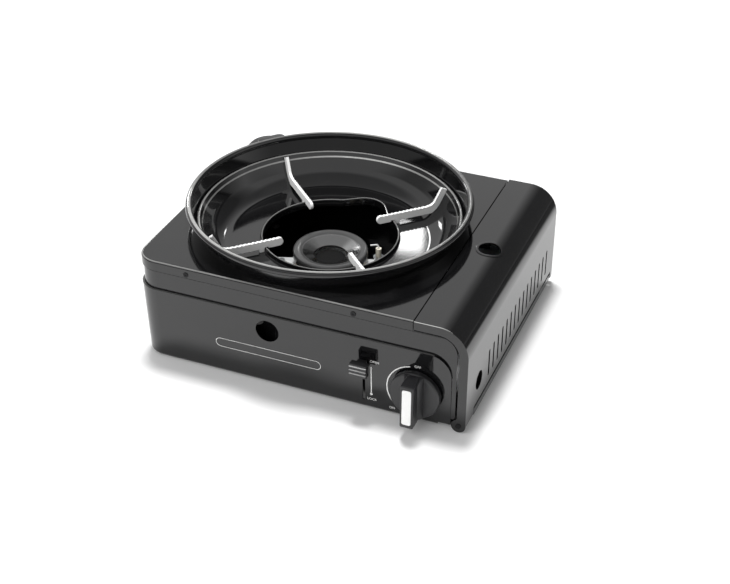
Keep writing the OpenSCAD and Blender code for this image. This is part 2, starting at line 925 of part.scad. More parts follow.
module ring_section() {
    rim = [rim_r - bead_r, rim_z - bead_r];
    half_t = sheet / 2;
    polygon([[ring_foot_r - sheet, case_h], [ring_foot_r, case_h], rim + [half_t, 0], rim - [half_t, 0]]);
    translate(rim)
        circle(bead_r);
    translate([ring_in_r, case_h])
        square([ring_foot_w - sheet / 2, sheet]);
}

module lifting_tab() {
    round_r = lift_reach * 0.7;
    translate([rim_r - bead_r, 0, rim_z - 2 * bead_r + 0.3])
        linear_extrude(sheet) {
            translate([0, -lift_w / 2])
                square([lift_reach + bead_r - round_r, lift_w]);
            translate([0, -lift_w / 2 + round_r])
                square([lift_reach + bead_r, lift_w - 2 * round_r]);
            for (side = [-1, 1])
                translate([lift_reach + bead_r - round_r, side * (lift_w / 2 - round_r)])
                    circle(round_r);
        }
}

module wind_ring() {
    color(black_enamel)
        placed() {
            at_burner()
                rotate_extrude()
                    ring_section();
            at_burner(lift_turn)
                lifting_tab();
        }
}

// A bend rises from the floor, runs up as a steep wall and ends in a rolled crest
module bowl_section() {
    bend_in = [for (i = [0 : 8])
        bend_c + bowl_bend * [sin(wall_turn * i / 8), -cos(wall_turn * i / 8)]];
    bend_out = [for (i = [8 : -1 : 0])
        bend_c + (bowl_bend + sheet) * [sin(wall_turn * i / 8), -cos(wall_turn * i / 8)]];
    crest = [for (i = [13 : -1 : 0])
        let (turn = -45 + (135 + wall_turn) * i / 13)
        crest_c + bead_r * [cos(turn), sin(turn)]];
    skirt = crest[13];
    polygon(concat(bend_in, crest, [[skirt[0], case_h + sheet], [skirt[0] - sheet, case_h + sheet],
        [skirt[0] - sheet, skirt[1]]], bend_out));
}

// Plan of the opening round the burner, with a bay in its edge for the spark's view
module opening_plan(grow) {
    circle(opening_r + grow);
    rotate(notch_turn)
        translate(notch_c)
            circle(notch_r + grow);
}

module drip_bowl() {
    color(black_enamel)
        placed()
            at_burner()
                rotate_extrude()
                    bowl_section();
}

module bowl_floor() {
    color(black_enamel)
        placed()
            at_burner()
                translate([0, 0, bowl_z - sheet])
                    linear_extrude(sheet)
                        difference() {
                            circle(bowl_floor_r);
                            opening_plan(sheet);
                        }
}

// A collar keeps drippings from running into the opening
module bowl_collar() {
    color(black_enamel)
        placed()
            at_burner()
                translate([0, 0, bowl_z - sheet - collar_down])
                    linear_extrude(collar_down + sheet + collar_up)
                        difference() {
                            opening_plan(sheet);
                            opening_plan(0);
                        }
}

// Side view of a pan support: x from the burner's centre, y is height
module arm_section() {
    heel = [for (i = [0 : 4])
        let (turn = arm_heel_turn + (wall_turn - arm_heel_turn) * i / 4)
        bend_c + arm_bend_r * [sin(turn), -cos(turn)]];
    teeth = [for (i = [tooth_count - 1 : -1 : 0], k = [1, 0.5])
        [tooth_from + (i + k) * tooth_pitch, arm_top - (k == 0.5 ? tooth_h : 0)]];
    knee = [for (i = [6 : -1 : 0])
        [arm_level_end, arm_top + arm_knee_round]
        + arm_knee_round * [sin(wall_turn * i / 6), -cos(wall_turn * i / 6)]];
    difference() {
        union() {
            polygon(concat([[tooth_from, arm_low]], heel, [arm_end, arm_crown], knee, teeth,
                [[tooth_from, arm_top]]));
            translate([tooth_from, arm_low + arm_round])
                circle(arm_round);
            translate([arm_foot_r, bowl_z])
                square([arm_foot_w, arm_up + over]);
        }
        translate([opening_r - arm_slot, arm_low - over])
            square([sheet + 2 * arm_slot, collar_top + fit_gap - arm_low + over]);
    }
}

module pan_support(turn) {
    color(bright_plate)
        placed()
            at_burner(turn)
                along_y(arm_t)
                    arm_section();
}

module cap_section() {
    lip = 1.4;
    hole_r = cap_hole_d / 2;
    dish = cap_h * 0.9;
    brow = [for (turn = [90 : -15 : 0])
        [cap_d / 2 - lip, burner_top - lip] + lip * [cos(turn), sin(turn)]];
    polygon(concat([[hole_r, burner_top - dish]], brow, [[cap_d / 2, ring_top_z],
        [cup_r - cup_t - 1, ring_top_z], [hole_r + 1, ring_top_z - 2.5], [hole_r, ring_top_z - 2.5]]));
}

module burner_cap() {
    color(burnt_iron)
        placed()
            at_burner()
                rotate_extrude()
                    cap_section();
}

module burner_ring() {
    port_z = cup_top_z + port_ring_h / 2;
    color(brass_tone)
        placed()
            at_burner()
                difference() {
                    translate([0, 0, cup_top_z])
                        cylinder(r = cup_r, h = port_ring_h);
                    translate([0, 0, cup_top_z - over])
                        cylinder(r = cup_r - cup_t, h = port_ring_h + 2 * over);
                    for (i = [0 : port_count - 1])
                        rotate([0, 0, i * 360 / port_count])
                            bar_x(0, port_z, port_d / 2, cup_r - cup_t - over, cup_r + over);
                }
}

// Plug in the middle of the cup, which leaves a ring of flame inside the cap's hole
module burner_core() {
    top_r = cap_hole_d / 2 - 1.5;
    color(burnt_iron)
        placed()
            at_burner()
                translate([0, 0, cup_z + cup_t]) {
                    cylinder(r = top_r / 2, h = ring_top_z - 8 - cup_z - cup_t);
                    translate([0, 0, ring_top_z - 8 - cup_z - cup_t])
                        cylinder(r = top_r, h = 3.5);
                }
}

// Ears run out from the cup on both sides
module burner_ears() {
    for (side = [0, 180])
        rotate([0, 0, ear_turn + side])
            translate([cup_r - cup_t, -ear_w / 2, ear_z])
                cube([ear_end - cup_r + cup_t, ear_w, ear_t]);
}

module ear_screw_places() {
    for (side = [0, 180])
        at_burner(ear_turn + side)
            translate([ear_screw_r, 0, 0])
                children();
}

module burner_body() {
    color(grey_cast)
        placed()
            difference() {
                at_burner() {
                    translate([0, 0, cup_z])
                        cylinder(r = cup_r, h = cup_h);
                    burner_ears();
                    rotate([0, 0, gas_turn])
                        bar_x(0, tube_z, tube_r, cup_r - tube_r, tube_end);
                }
                at_burner() {
                    translate([0, 0, cup_z + cup_t])
                        cylinder(r = cup_r - cup_t, h = cup_h);
                    rotate([0, 0, gas_turn])
                        bar_x(0, tube_z, tube_bore / 2, cup_r - tube_r, tube_end + over);
                }
                ear_screw_places()
                    translate([0, 0, ear_z - over])
                        cylinder(r = ear_screw_d / 2 + run_gap, h = ear_t + 2 * over);
            }
}

module burner_bracket() {
    foot_l = 12;
    color(zinc_plate)
        placed()
            difference() {
                for (side = [0, 180])
                    at_burner(ear_turn + side) {
                        translate([ear_screw_r - ear_w / 2, -ear_w / 2, ear_z - bracket_t])
                            cube([leg_r + bracket_t - ear_screw_r + ear_w / 2, ear_w, bracket_t]);
                        translate([leg_r, -ear_w / 2, floor_z])
                            cube([bracket_t, ear_w, ear_z - floor_z]);
                        translate([leg_r, -ear_w / 2, floor_z])
                            cube([foot_l, ear_w, bracket_t]);
                    }
                ear_screw_places()
                    translate([0, 0, ear_z - bracket_t - over])
                        cylinder(r = ear_screw_d / 2 + run_gap, h = bracket_t + 2 * over);
            }
}

// The right screw also holds the igniter's clip, so its head sits one sheet higher
module burner_screws() {
    low = ear_z - bracket_t - 2;
    color(zinc_plate)
        placed()
            for (side = [0, 1])
                at_burner(ear_turn + 180 * side)
                    translate([ear_screw_r, 0, 0]) {
                        seat = ear_top_z + (side == 0 ? sheet : 0);
                        translate([0, 0, low])
                            cylinder(r = ear_screw_d / 2, h = seat - low + ear_head_h / 2);
                        translate([0, 0, seat])
                            cylinder(r1 = ear_head_d / 2, r2 = ear_head_d / 2 - 0.8, h = ear_head_h);
                    }
}

module igniter_clip() {
    hole_at = igniter_r * [cos(clip_from), sin(clip_from)];
    wide = ceramic_d + 5;
    color(zinc_plate)
        placed()
            at_burner(ear_turn)
                translate([0, 0, ear_top_z])
                    linear_extrude(sheet)
                        difference() {
                            union() {
                                translate([ear_screw_r - wide / 2, -wide / 2])
                                    square([wide, wide / 2 + hole_at[1]]);
                                translate(hole_at)
                                    circle(wide / 2);
                            }
                            translate([ear_screw_r, 0])
                                circle(ear_screw_d / 2 + run_gap);
                            translate(hole_at)
                                circle(ceramic_d / 2 + run_gap);
                        }
}

module igniter_ceramic() {
    color(cream_ceramic)
        placed()
            translate([igniter_at[0], igniter_at[1], ceramic_low])
                difference() {
                    cylinder(r = ceramic_d / 2, h = ceramic_top - ceramic_low);
                    translate([0, 0, over])
                        cylinder(r = spark_pin_d / 2 + run_gap, h = ceramic_top - ceramic_low);
                }
}

module igniter_pin() {
    pin_r = spark_pin_d / 2;
    tip_r = cap_d / 2 + 3;
    bend = 2 * spark_pin_d;
    color(bright_plate)
        placed()
            at_burner(igniter_turn) {
                translate([igniter_r, 0, ceramic_low + over])
                    cylinder(r = pin_r, h = spark_z - bend - ceramic_low - over);
                translate([igniter_r - bend, 0, spark_z - bend])
                    rotate([90, 0, 0])
                        rotate_extrude(angle = 90)
                            translate([bend, 0])
                                circle(pin_r);
                bar_x(0, spark_z, pin_r, tip_r, igniter_r - bend);
            }
}

function unit(v) = v / norm(v);

// Direction of the lead at a point: halfway between the stretches before and after it
function lead_way(i) = let (last = len(lead_points) - 1)
    i == 0 ? unit(lead_points[1] - lead_points[0]) :
    i == last ? unit(lead_points[last] - lead_points[last - 1]) :
    unit(unit(lead_points[i] - lead_points[i - 1]) + unit(lead_points[i + 1] - lead_points[i]));

module igniter_lead() {
    sides = 8;
    last = len(lead_points) - 1;
    rings = [for (i = [0 : last])
        let (way = lead_way(i), side = unit(cross(way, [0.7, 0.5, 0.5])), rise = cross(way, side))
        for (k = [0 : sides - 1])
            lead_points[i] + lead_d / 2 * (cos(k * 360 / sides) * side + sin(k * 360 / sides) * rise)];
    skin = [for (i = [0 : last - 1], k = [0 : sides - 1])
        let (next = (k + 1) % sides, a = i * sides, b = a + sides)
        each [[a + k, b + next, a + next], [a + k, b + k, b + next]]];
    ends = [[for (k = [0 : sides - 1]) k], [for (k = [sides - 1 : -1 : 0]) last * sides + k]];
    color(rubber_tone)
        placed()
            polyhedron(rings, concat(skin, ends));
}

module piezo_unit() {
    color(black_plastic)
        placed()
            translate(piezo_at) {
                cube(piezo_size);
                bar_y(piezo_size[0] / 2, piezo_size[2] / 2, 3, -5, over);
            }
}

// Along the gas line from the burner's centre
module on_gas_line() {
    at_burner(gas_turn)
        translate([0, 0, tube_z])
            rotate([0, 90, 0])
                children();
}

module gas_jet() {
    color(brass_tone)
        placed()
            on_gas_line()
                difference() {
                    union() {
                        translate([0, 0, jet_tip])
                            cylinder(r1 = 1.8, r2 = 3, h = jet_back - jet_tip);
                        translate([0, 0, jet_back])
                            cylinder(r = pipe_d / 2 + 2, h = pipe_from - jet_back);
                    }
                    translate([0, 0, jet_tip - over])
                        cylinder(r = 0.6, h = pipe_from - jet_tip + 2 * over);
                }
}

module gas_pipe() {
    color(brass_tone)
        placed()
            on_gas_line()
                translate([0, 0, pipe_from])
                    difference() {
                        cylinder(r = pipe_d / 2, h = gas_l + pipe_sunk - pipe_from);
                        translate([0, 0, -over])
                            cylinder(r = pipe_d / 2 - 1, h = gas_l + pipe_sunk - pipe_from + 2 * over);
                    }
}

module valve_body() {
    color(grey_cast)
        placed()
            difference() {
                union() {
                    translate([valve_left, guide_y - valve_l, valve_low])
                        cube([valve_right - valve_left, valve_l, valve_top - valve_low]);
                    bar_y(knob_x, knob_z, boss_r, boss_y, guide_y - valve_l + over);
                }
                bar_y(knob_x, knob_z, stem_r + run_gap, boss_y - over, guide_y - stem_deep);
                bar_y(cart_x, cart_z, socket_bore / 2 + 1, guide_y - valve_hole_deep, guide_y + over);
                on_gas_line()
                    translate([0, 0, pipe_from])
                        cylinder(r = pipe_d / 2 + run_gap, h = gas_l + pipe_sunk - pipe_from);
                guide_screw_places()
                    bar_y(0, 0, screw_d / 2 + run_gap, -valve_hole_deep, over);
            }
}

module valve_stem() {
    color(zinc_plate)
        placed()
            bar_y(knob_x, knob_z, stem_r, knob_y - stem_deep, guide_y - stem_deep - over);
}

module valve_socket() {
    color(brass_tone)
        placed()
            difference() {
                bar_y(cart_x, cart_z, socket_d / 2, guide_y, socket_end);
                bar_y(cart_x, cart_z, socket_bore / 2, guide_y - over, socket_end + over);
            }
}

module socket_seal() {
    color(rubber_tone)
        placed()
            difference() {
                bar_y(cart_x, cart_z, socket_d / 2 - 3, socket_end, socket_end + 1);
                bar_y(cart_x, cart_z, socket_d / 2 - 6, socket_end - over, socket_end + 1 + over);
            }
}

module marker_shape(gap) {
    w = grip_w - 2 * marker_in + 2 * gap;
    l = grip_l - 4 * marker_in + 2 * gap;
    r = 2;
    square([w - 2 * r, l], center = true);
    square([w, l - 2 * r], center = true);
    for (x = [-1, 1], y = [-1, 1])
        translate([x * (w / 2 - r), y * (l / 2 - r)])
            circle(r);
}

module control_knob() {
    color(black_plastic)
        placed()
            translate([knob_x, 0, knob_z])
                difference() {
                    union() {
                        bar_y(0, 0, knob_d / 2, knob_y - knob_t, knob_y);
                        translate([-grip_w / 2, grip_front, -grip_l / 2])
                            cube([grip_w, grip_h + over, grip_l]);
                    }
                    bar_y(0, 0, stem_r + run_gap, knob_y - stem_deep, knob_y + over);
                    translate([0, grip_front, 0])
                        along_y(2 * marker_t)
                            marker_shape(0);
                }
}

module knob_marker() {
    color(pale_marker)
        placed()
            translate([knob_x, grip_front + marker_t / 2, knob_z])
                along_y(marker_t)
                    marker_shape(-run_gap);
}

module partition_wall() {
    slot_low = rod_z - rod_w / 2 - 1;
    slot_from = pusher_y - push_travel - 2;
    color(zinc_plate)
        placed()
            difference() {
                union() {
                    translate([part_x - sheet, -part_half, floor_z])
                        cube([sheet, 2 * part_half, part_top - floor_z]);
                    translate([part_x - sheet, -part_half, floor_z])
                        cube([part_foot, 2 * part_half, sheet]);
                }
                on_gas_line()
                    translate([0, 0, pipe_from])
                        cylinder(r = pipe_d / 2 + 1, h = gas_l - pipe_from);
                bar_x(lead_y, lead_z, lead_d / 2 + 1, part_x - sheet - over, part_x + over);
                translate([part_x - sheet - over, slot_from, slot_low])
                    cube([sheet + 2 * over, push_travel + sheet + 4, rod_w + 2]);
                translate([part_x - sheet - over, panel_y - panel_half - 1, floor_z + sheet])
                    cube([sheet + 2 * over, 2 * panel_half + 2, 3 * sheet]);
            }
}

module heat_panel() {
    low = floor_z + sheet;
    color(grey_cast)
        placed()
            translate([panel_x, panel_y - panel_half, low]) {
                cube([sheet, 2 * panel_half, panel_top - low]);
                cube([panel_reach - panel_x, 2 * panel_half, sheet]);
            }
}

// Two screws beside the socket, along y
module guide_screw_places() {
    for (side = [-1, 1])
        translate([cart_x + side * (socket_d / 2 + guide_screw_out), guide_y, cart_z + guide_screw_up])
            children();
}

module cartridge_guide() {
    left = cart_x - guide_left;
    color(zinc_plate)
        placed()
            difference() {
                union() {
                    translate([left, guide_y, floor_z])
                        cube([guide_w, sheet, cart_z + cart_r + guide_rise - floor_z]);
                    translate([left, guide_y, floor_z])
                        cube([guide_w, guide_foot, sheet]);
                    translate([cart_x - guide_key_w / 2, guide_y, cart_z - socket_d / 2 - guide_screw_out])
                        cube([guide_key_w, socket_l - fit_gap, guide_key_w]);
                }
                bar_y(cart_x, cart_z, socket_d / 2 + fit_gap, guide_y - over, guide_y + sheet + over);
                guide_screw_places()
                    bar_y(0, 0, screw_d / 2 + run_gap, -over, sheet + over);
            }
}

module guide_screws() {
    color(zinc_plate)
        placed()
            guide_screw_places() {
                bar_y(0, 0, screw_d / 2, over - valve_hole_deep, sheet + screw_head_h);
                bar_y(0, 0, screw_head_d / 2, sheet, sheet + 2 * screw_head_h);
            }
}

module cartridge_saddles() {
    color(zinc_plate)
        placed()
            front_and_back()
                translate([cart_x - saddle_w / 2, saddle_y - saddle_l / 2, floor_z])
                    difference() {
                        union() {
                            cube([saddle_w, saddle_l, saddle_top - floor_z]);
                            for (x = [0, saddle_w - 2])
                                translate([x, 0, 0])
                                    cube([2, saddle_l, saddle_top + saddle_lip - floor_z]);
                        }
                        translate([2, -over, -over])
                            cube([saddle_w - 4, saddle_l + 2 * over, saddle_top - floor_z - sheet + over]);
                    }
}

// Side view of the lever about its pivot: y to the back, z up
module lever_outline() {
    circle(hub_r + 1.5);
    rotate(arm_turn)
        translate([0, -lever_w / 2])
            square([arm_l, lever_w]);
    rotate(crank_turn) {
        translate([0, -lever_w / 2])
            square([crank_r, lever_w]);
        translate([crank_r, 0])
            circle(lever_w / 2);
    }
}

module lock_lever() {
    hub_from = cheek_left + bracket_t + 0.2;
    hub_to = cheek_right - 0.2;
    color(zinc_plate)
        placed()
            difference() {
                union() {
                    translate([lever_x - lever_t / 2, pivot_y, pivot_z])
                        along_x(lever_t)
                            lever_outline();
                    bar_x(pivot_y, pivot_z, hub_r, hub_from, hub_to);
                }
                bar_x(pivot_y, pivot_z, pivot_r + run_gap, hub_from - over, hub_to + over);
                translate([lever_x, 0, 0])
                    bar_x(crank_at[0], crank_at[1], crank_pin_r + run_gap, -lever_t, lever_t);
            }
}

// Ridged cap with a pocket for the lever's end, most of it left of the slit
module lever_tab() {
    ridge = 1;
    block_back = tab_front + tab_block;
    color(black_plastic)
        placed()
            difference() {
                union() {
                    translate([lever_x - tab_w / 2, tab_front + ridge, tab_z - tab_h / 2])
                        cube([tab_w, tab_block - ridge, tab_h]);
                    translate([lever_x - tab_neck_w / 2, block_back - over, tab_z - tab_neck_h / 2])
                        cube([tab_neck_w, tab_back - block_back + over, tab_neck_h]);
                    for (i = [0 : 2])
                        translate([lever_x - tab_w / 2, tab_front, tab_z + (i - 1.35) * tab_h / 3])
                            cube([tab_w, ridge + over, tab_h / 4.4]);
                }
                translate([lever_x - lever_t / 2 - run_gap, pivot_y, pivot_z])
                    along_x(lever_t + 2 * run_gap)
                        rotate(arm_turn)
                            translate([0, -lever_w / 2 - run_gap])
                                square([arm_l + run_gap, lever_w + 2 * run_gap]);
            }
}

module lever_pin() {
    color(bright_plate)
        placed() {
            bar_x(crank_at[0], crank_at[1], crank_pin_r, lever_x - lever_t, rod_x + rod_t + 1);
            translate([lever_x - lever_t, 0, 0])
                bar_x(crank_at[0], crank_at[1], crank_pin_r + 0.8, -0.8, lever_t / 2);
        }
}

module lever_pivot() {
    color(bright_plate)
        placed() {
            bar_x(pivot_y, pivot_z, pivot_r, cheek_left - 1.2, cheek_end + 1.2);
            bar_x(pivot_y, pivot_z, pivot_r + 1, cheek_left - 1.2, cheek_left);
            bar_x(pivot_y, pivot_z, pivot_r + 1, cheek_end, cheek_end + 1.2);
        }
}

module lever_bracket() {
    color(zinc_plate)
        placed()
            difference() {
                union() {
                    for (x = [cheek_left, cheek_right])
                        translate([x, pivot_y - cheek_half, floor_z])
                            cube([bracket_t, 2 * cheek_half, pivot_z + cheek_half - floor_z]);
                    translate([cheek_left, pivot_y - cheek_half, floor_z])
                        cube([cheek_end - cheek_left, 2 * cheek_half, bracket_t]);
                }
                bar_x(pivot_y, pivot_z, pivot_r + run_gap, cheek_left - over, cheek_end + over);
            }
}

// The crank pin rises a little as it swings, so its slot is taller than it is wide
module crank_slot() {
    rise = crank_r * (1 - sin(crank_turn));
    slot_r = crank_pin_r + slot_gap;
    translate([rod_x - over, crank_at[0], crank_at[1]])
        along_x(rod_t + 2 * over) {
            circle(slot_r);
            translate([-slot_r, 0])
                square([2 * slot_r, rise]);
            translate([0, rise])
                circle(slot_r);
        }
}

module pusher_rod() {
    color(zinc_plate)
        placed()
            difference() {
                translate([rod_x, rod_front, rod_z - rod_w / 2])
                    cube([rod_t, pusher_y - rod_front, rod_w]);
                crank_slot();
            }
}

module pusher_plate() {
    color(zinc_plate)
        placed() {
            translate([rod_x, pusher_y, rod_z - rod_w / 2])
                cube([cart_x - rod_x, sheet, rod_w]);
            bar_y(cart_x, cart_z, pad_d / 2, pusher_y, pusher_y + sheet);
        }
}

module rod_guides() {
    color(zinc_plate)
        placed()
            for (y = [guide_low_y, guide_high_y])
                difference() {
                    translate([rod_x - rod_guide_rim, y, floor_z])
                        cube([rod_t + 2 * rod_guide_rim, rod_guide_t, rod_top + rod_guide_rim - floor_z]);
                    translate([rod_x - rod_gap, y - over, rod_z - rod_w / 2 - rod_gap])
                        cube([rod_t + 2 * rod_gap, rod_guide_t + 2 * over, rod_w + 2 * rod_gap]);
                }
}

lower_case();
upper_frame();
top_plate();
plate_screws();
rubber_feet();
cartridge_cover();
hinge_pins();
wind_ring();
drip_bowl();
bowl_floor();
bowl_collar();
pan_support(45);  // pan_support_1
pan_support(135);  // pan_support_2
pan_support(225);  // pan_support_3
pan_support(315);  // pan_support_4
burner_cap();
burner_ring();
burner_core();
burner_body();
burner_bracket();
burner_screws();
igniter_ceramic();
igniter_pin();
igniter_clip();
igniter_lead();
piezo_unit();
gas_jet();
gas_pipe();
valve_body();
valve_stem();
valve_socket();
socket_seal();
control_knob();
knob_marker();
partition_wall();
heat_panel();
cartridge_guide();
guide_screws();
cartridge_saddles();
lock_lever();
lever_tab();
lever_pin();
lever_pivot();
lever_bracket();
pusher_rod();
pusher_plate();
rod_guides();
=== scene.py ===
import json
import math
import bpy
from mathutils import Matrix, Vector


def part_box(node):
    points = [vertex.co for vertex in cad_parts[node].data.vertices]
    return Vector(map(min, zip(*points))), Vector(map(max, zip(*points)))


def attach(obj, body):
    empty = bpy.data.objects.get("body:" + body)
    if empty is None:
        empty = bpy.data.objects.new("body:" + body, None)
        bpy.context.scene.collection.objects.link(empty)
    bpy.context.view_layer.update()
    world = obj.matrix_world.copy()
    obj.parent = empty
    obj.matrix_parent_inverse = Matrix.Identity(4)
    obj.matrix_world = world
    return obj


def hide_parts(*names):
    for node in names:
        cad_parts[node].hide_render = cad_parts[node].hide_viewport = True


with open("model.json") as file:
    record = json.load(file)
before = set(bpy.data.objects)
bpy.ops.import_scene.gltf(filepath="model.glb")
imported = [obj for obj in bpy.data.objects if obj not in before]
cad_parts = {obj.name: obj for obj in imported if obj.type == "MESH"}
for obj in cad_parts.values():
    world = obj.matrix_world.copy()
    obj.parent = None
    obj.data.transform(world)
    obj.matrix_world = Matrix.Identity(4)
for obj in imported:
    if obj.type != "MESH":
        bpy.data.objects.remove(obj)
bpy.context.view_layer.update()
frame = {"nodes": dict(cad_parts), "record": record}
nodes = frame["nodes"]
scene = bpy.context.scene
mm = 0.001
near = 0.1  # millimetres, for picking by place
forward = -0.9  # y of a normal that looks to the front
doubles = 1e-6  # metres
burnerAt = (-24.8, 12.65)  # centre of bowl and burner, in millimetres
print("frame loaded,", len(nodes), "nodes")

# Tools for the materials


def hexColor(code):  # sRGB hex to linear
    parts = [int(code[i:i + 2], 16) / 255 for i in (1, 3, 5)]
    return [p / 12.92 if p <= 0.04045 else ((p + 0.055) / 1.055) ** 2.4 for p in parts] + [1.0]


def addNode(tree, kind, sockets=None, colors=(), spread=(0.0, 1.0), **settings):
    node = tree.nodes.new(kind)
    for name, value in settings.items():
        setattr(node, name, value)
    for i, code in enumerate(colors):  # stops of a colour ramp
        node.color_ramp.elements[i].position = spread[i]
        node.color_ramp.elements[i].color = hexColor(code)
    for socket, value in (sockets or {}).items():
        if isinstance(value, bpy.types.NodeSocket):
            tree.links.new(value, node.inputs[socket])
        else:
            node.inputs[socket].default_value = value
    return node


def newMaterial(name):
    material = bpy.data.materials.new(name)
    material.use_nodes = True
    tree = material.node_tree
    tree.nodes.clear()
    return material, tree, addNode(tree, "ShaderNodeTexCoord").outputs["Object"]


def coat(material, shell):  # closes a material with its surface
    skin = addNode(material.node_tree, "ShaderNodeBsdfPrincipled", shell)
    addNode(material.node_tree, "ShaderNodeOutputMaterial", {"Surface": skin.outputs[0]})
    return material


def perMm(size):  # texture scale for a pattern of this many millimetres
    return 1 / (size * mm)


# Tools for the pieces


def deselectAll():
    bpy.ops.object.select_all(action="DESELECT")


def only(piece):
    deselectAll()
    piece.select_set(True)
    bpy.context.view_layer.objects.active = piece


def settle(piece):  # place, turn and size go into the mesh
    only(piece)
    bpy.ops.object.transform_apply(location=True, rotation=True, scale=True)


def modify(piece, kind, **settings):
    only(piece)
    modifier = piece.modifiers.new(kind.lower(), kind)
    for name, value in settings.items():
        setattr(modifier, name, value)
    bpy.ops.object.modifier_apply(modifier=modifier.name)


def bevelEdges(piece, width, segments=3, angle=40):
    modify(piece, "BEVEL", width=width * mm, segments=segments, limit_method="ANGLE",
           angle_limit=math.radians(angle))


def leaveEdit():
    bpy.ops.object.mode_set(mode="OBJECT")


def bevelPicked(size, segments):
    bpy.ops.mesh.bevel(offset=size * mm, segments=segments, affect="EDGES")
    leaveEdit()


def editAll(piece):
    only(piece)
    bpy.ops.object.mode_set(mode="EDIT")
    bpy.ops.mesh.select_all(action="SELECT")


def clearPicks(kind):
    bpy.ops.object.mode_set(mode="EDIT")
    bpy.ops.mesh.select_mode(type=kind)
    bpy.ops.mesh.select_all(action="DESELECT")
    leaveEdit()


def pickFaces(piece, test):
    clearPicks("FACE")
    for face in piece.data.polygons:
        face.select = test(face.center / mm, face.normal)
    bpy.ops.object.mode_set(mode="EDIT")


def pickEdges(piece, test):
    clearPicks("EDGE")
    spots = piece.data.vertices
    for edge in piece.data.edges:
        edge.select = test(*(spots[end].co / mm for end in edge.vertices))
    bpy.ops.object.mode_set(mode="EDIT")


def pickSpots(piece, test):
    clearPicks("VERT")
    for spot in piece.data.vertices:
        spot.select = test(spot.co / mm)
    bpy.ops.object.mode_set(mode="EDIT")


def mergeDoubles():
    bpy.ops.mesh.select_all(action="SELECT")
    bpy.ops.mesh.remove_doubles(threshold=doubles)


def turnOutwards():
    bpy.ops.mesh.select_all(action="SELECT")
    bpy.ops.mesh.normals_make_consistent(inside=False)
    leaveEdit()


def addObject(name, data):
    piece = bpy.data.objects.new(name, data)
    scene.collection.objects.link(piece)
    return piece


def addBlock(name, low, high):  # box between two corners, in millimetres
    deselectAll()
    bpy.ops.mesh.primitive_cube_add(size=1, location=[(a + b) / 2 * mm for a, b in zip(low, high)])
    block = bpy.context.object
    block.name = name
    block.scale = [(b - a) * mm for a, b in zip(low, high)]
    settle(block)
    return block


def cutWith(piece, tool, operation):
    modify(piece, "BOOLEAN", operation=operation, solver="EXACT", object=tool)
    bpy.data.objects.remove(tool)


def joinPieces(main, others):
    only(main)
    for piece in others:
        piece.select_set(True)
    bpy.ops.object.join()


def arc(centre, radius, start, end, steps):  # degrees, end included
    turns = [math.radians(start + (end - start) * i / steps) for i in range(steps + 1)]
    return [(centre[0] + radius * math.cos(t), centre[1] + radius * math.sin(t)) for t in turns]


def spinSection(name, section, steps):  # closed section (radius, height) about the burner's axis
    mesh = bpy.data.meshes.new(name)
    spots = [((burnerAt[0] + r) * mm, burnerAt[1] * mm, z * mm) for r, z in section]
    mesh.from_pydata(spots, [(i, (i + 1) % len(spots)) for i in range(len(spots))], [])
    piece = addObject(name, mesh)
    editAll(piece)
    centre = (burnerAt[0] * mm, burnerAt[1] * mm, 0)
    bpy.ops.mesh.spin(steps=steps, angle=math.tau, center=centre, axis=(0, 0, 1))
    mergeDoubles()
    turnOutwards()
    return piece


def finishPiece(piece, material, body, replaced=(), angle=35):
    settle(piece)
    bpy.ops.object.shade_smooth_by_angle(angle=math.radians(angle))
    piece.data.materials.clear()
    piece.data.materials.append(material)
    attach(piece, body)
    if replaced:
        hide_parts(*replaced)


# Camera at the photograph's angle

viewSet = {
    "target": (1.5, 12.65, 51.7),
    "azimuth": 22.48,
    "elevation": 32.55,
    "distance": 1502.44,
    "focalPx": 1471.38,
    "framePx": (730, 584),
    "targetPx": (354.34, 274.01),
    "sensor": 36,
    "clipEnd": 20,
}


def addCamera():
    turn, lift = math.radians(viewSet["azimuth"]), math.radians(viewSet["elevation"])
    back = Vector((math.sin(turn) * math.cos(lift), -math.cos(turn) * math.cos(lift), math.sin(lift)))
    camera = bpy.data.cameras.new("camera")
    holder = addObject("camera", camera)
    holder.location = (Vector(viewSet["target"]) + back * viewSet["distance"]) * mm
    holder.rotation_euler = back.to_track_quat("Z", "Y").to_euler()
    wide, high = viewSet["framePx"]
    camera.sensor_width = viewSet["sensor"]
    camera.lens = viewSet["focalPx"] / wide * camera.sensor_width
    camera.shift_x = (wide / 2 - viewSet["targetPx"][0]) / wide
    camera.shift_y = (viewSet["targetPx"][1] - high / 2) / wide
    camera.clip_end = viewSet["clipEnd"]
    scene.camera = holder


addCamera()
print("camera set")

# Igniter lead: thin high-tension wire from the piezo to the foot of the ceramic

leadSet = {
    "route": [(129.5, -99.35, 73), (83.5, -99.35, 73), (59.5, -53.35, 71), (57.5, 22.65, 62),
              (37.5, 50.65, 46), (22, 42.5, 44.6), (17.13, 39.88, 52)],
    "diameter": 2.4,
    "stepsPerStretch": 4,
    "measureSteps": 40,
    "roundness": 3,
    "smoothness": 4,
}


def smoothRoute(corners, steps):  # curve through all the corners
    ends = [corners[0]] + corners + [corners[-1]]
    points = []
    for a, b, c, d in zip(ends, ends[1:], ends[2:], ends[3:]):
        for i in range(steps):
            t = i / steps
            points.append(0.5 * (2 * b + (c - a) * t + (2 * a - 5 * b + 4 * c - d) * t * t
                                 + (3 * b - 3 * c + d - a) * t ** 3))
    return points + [corners[-1]]


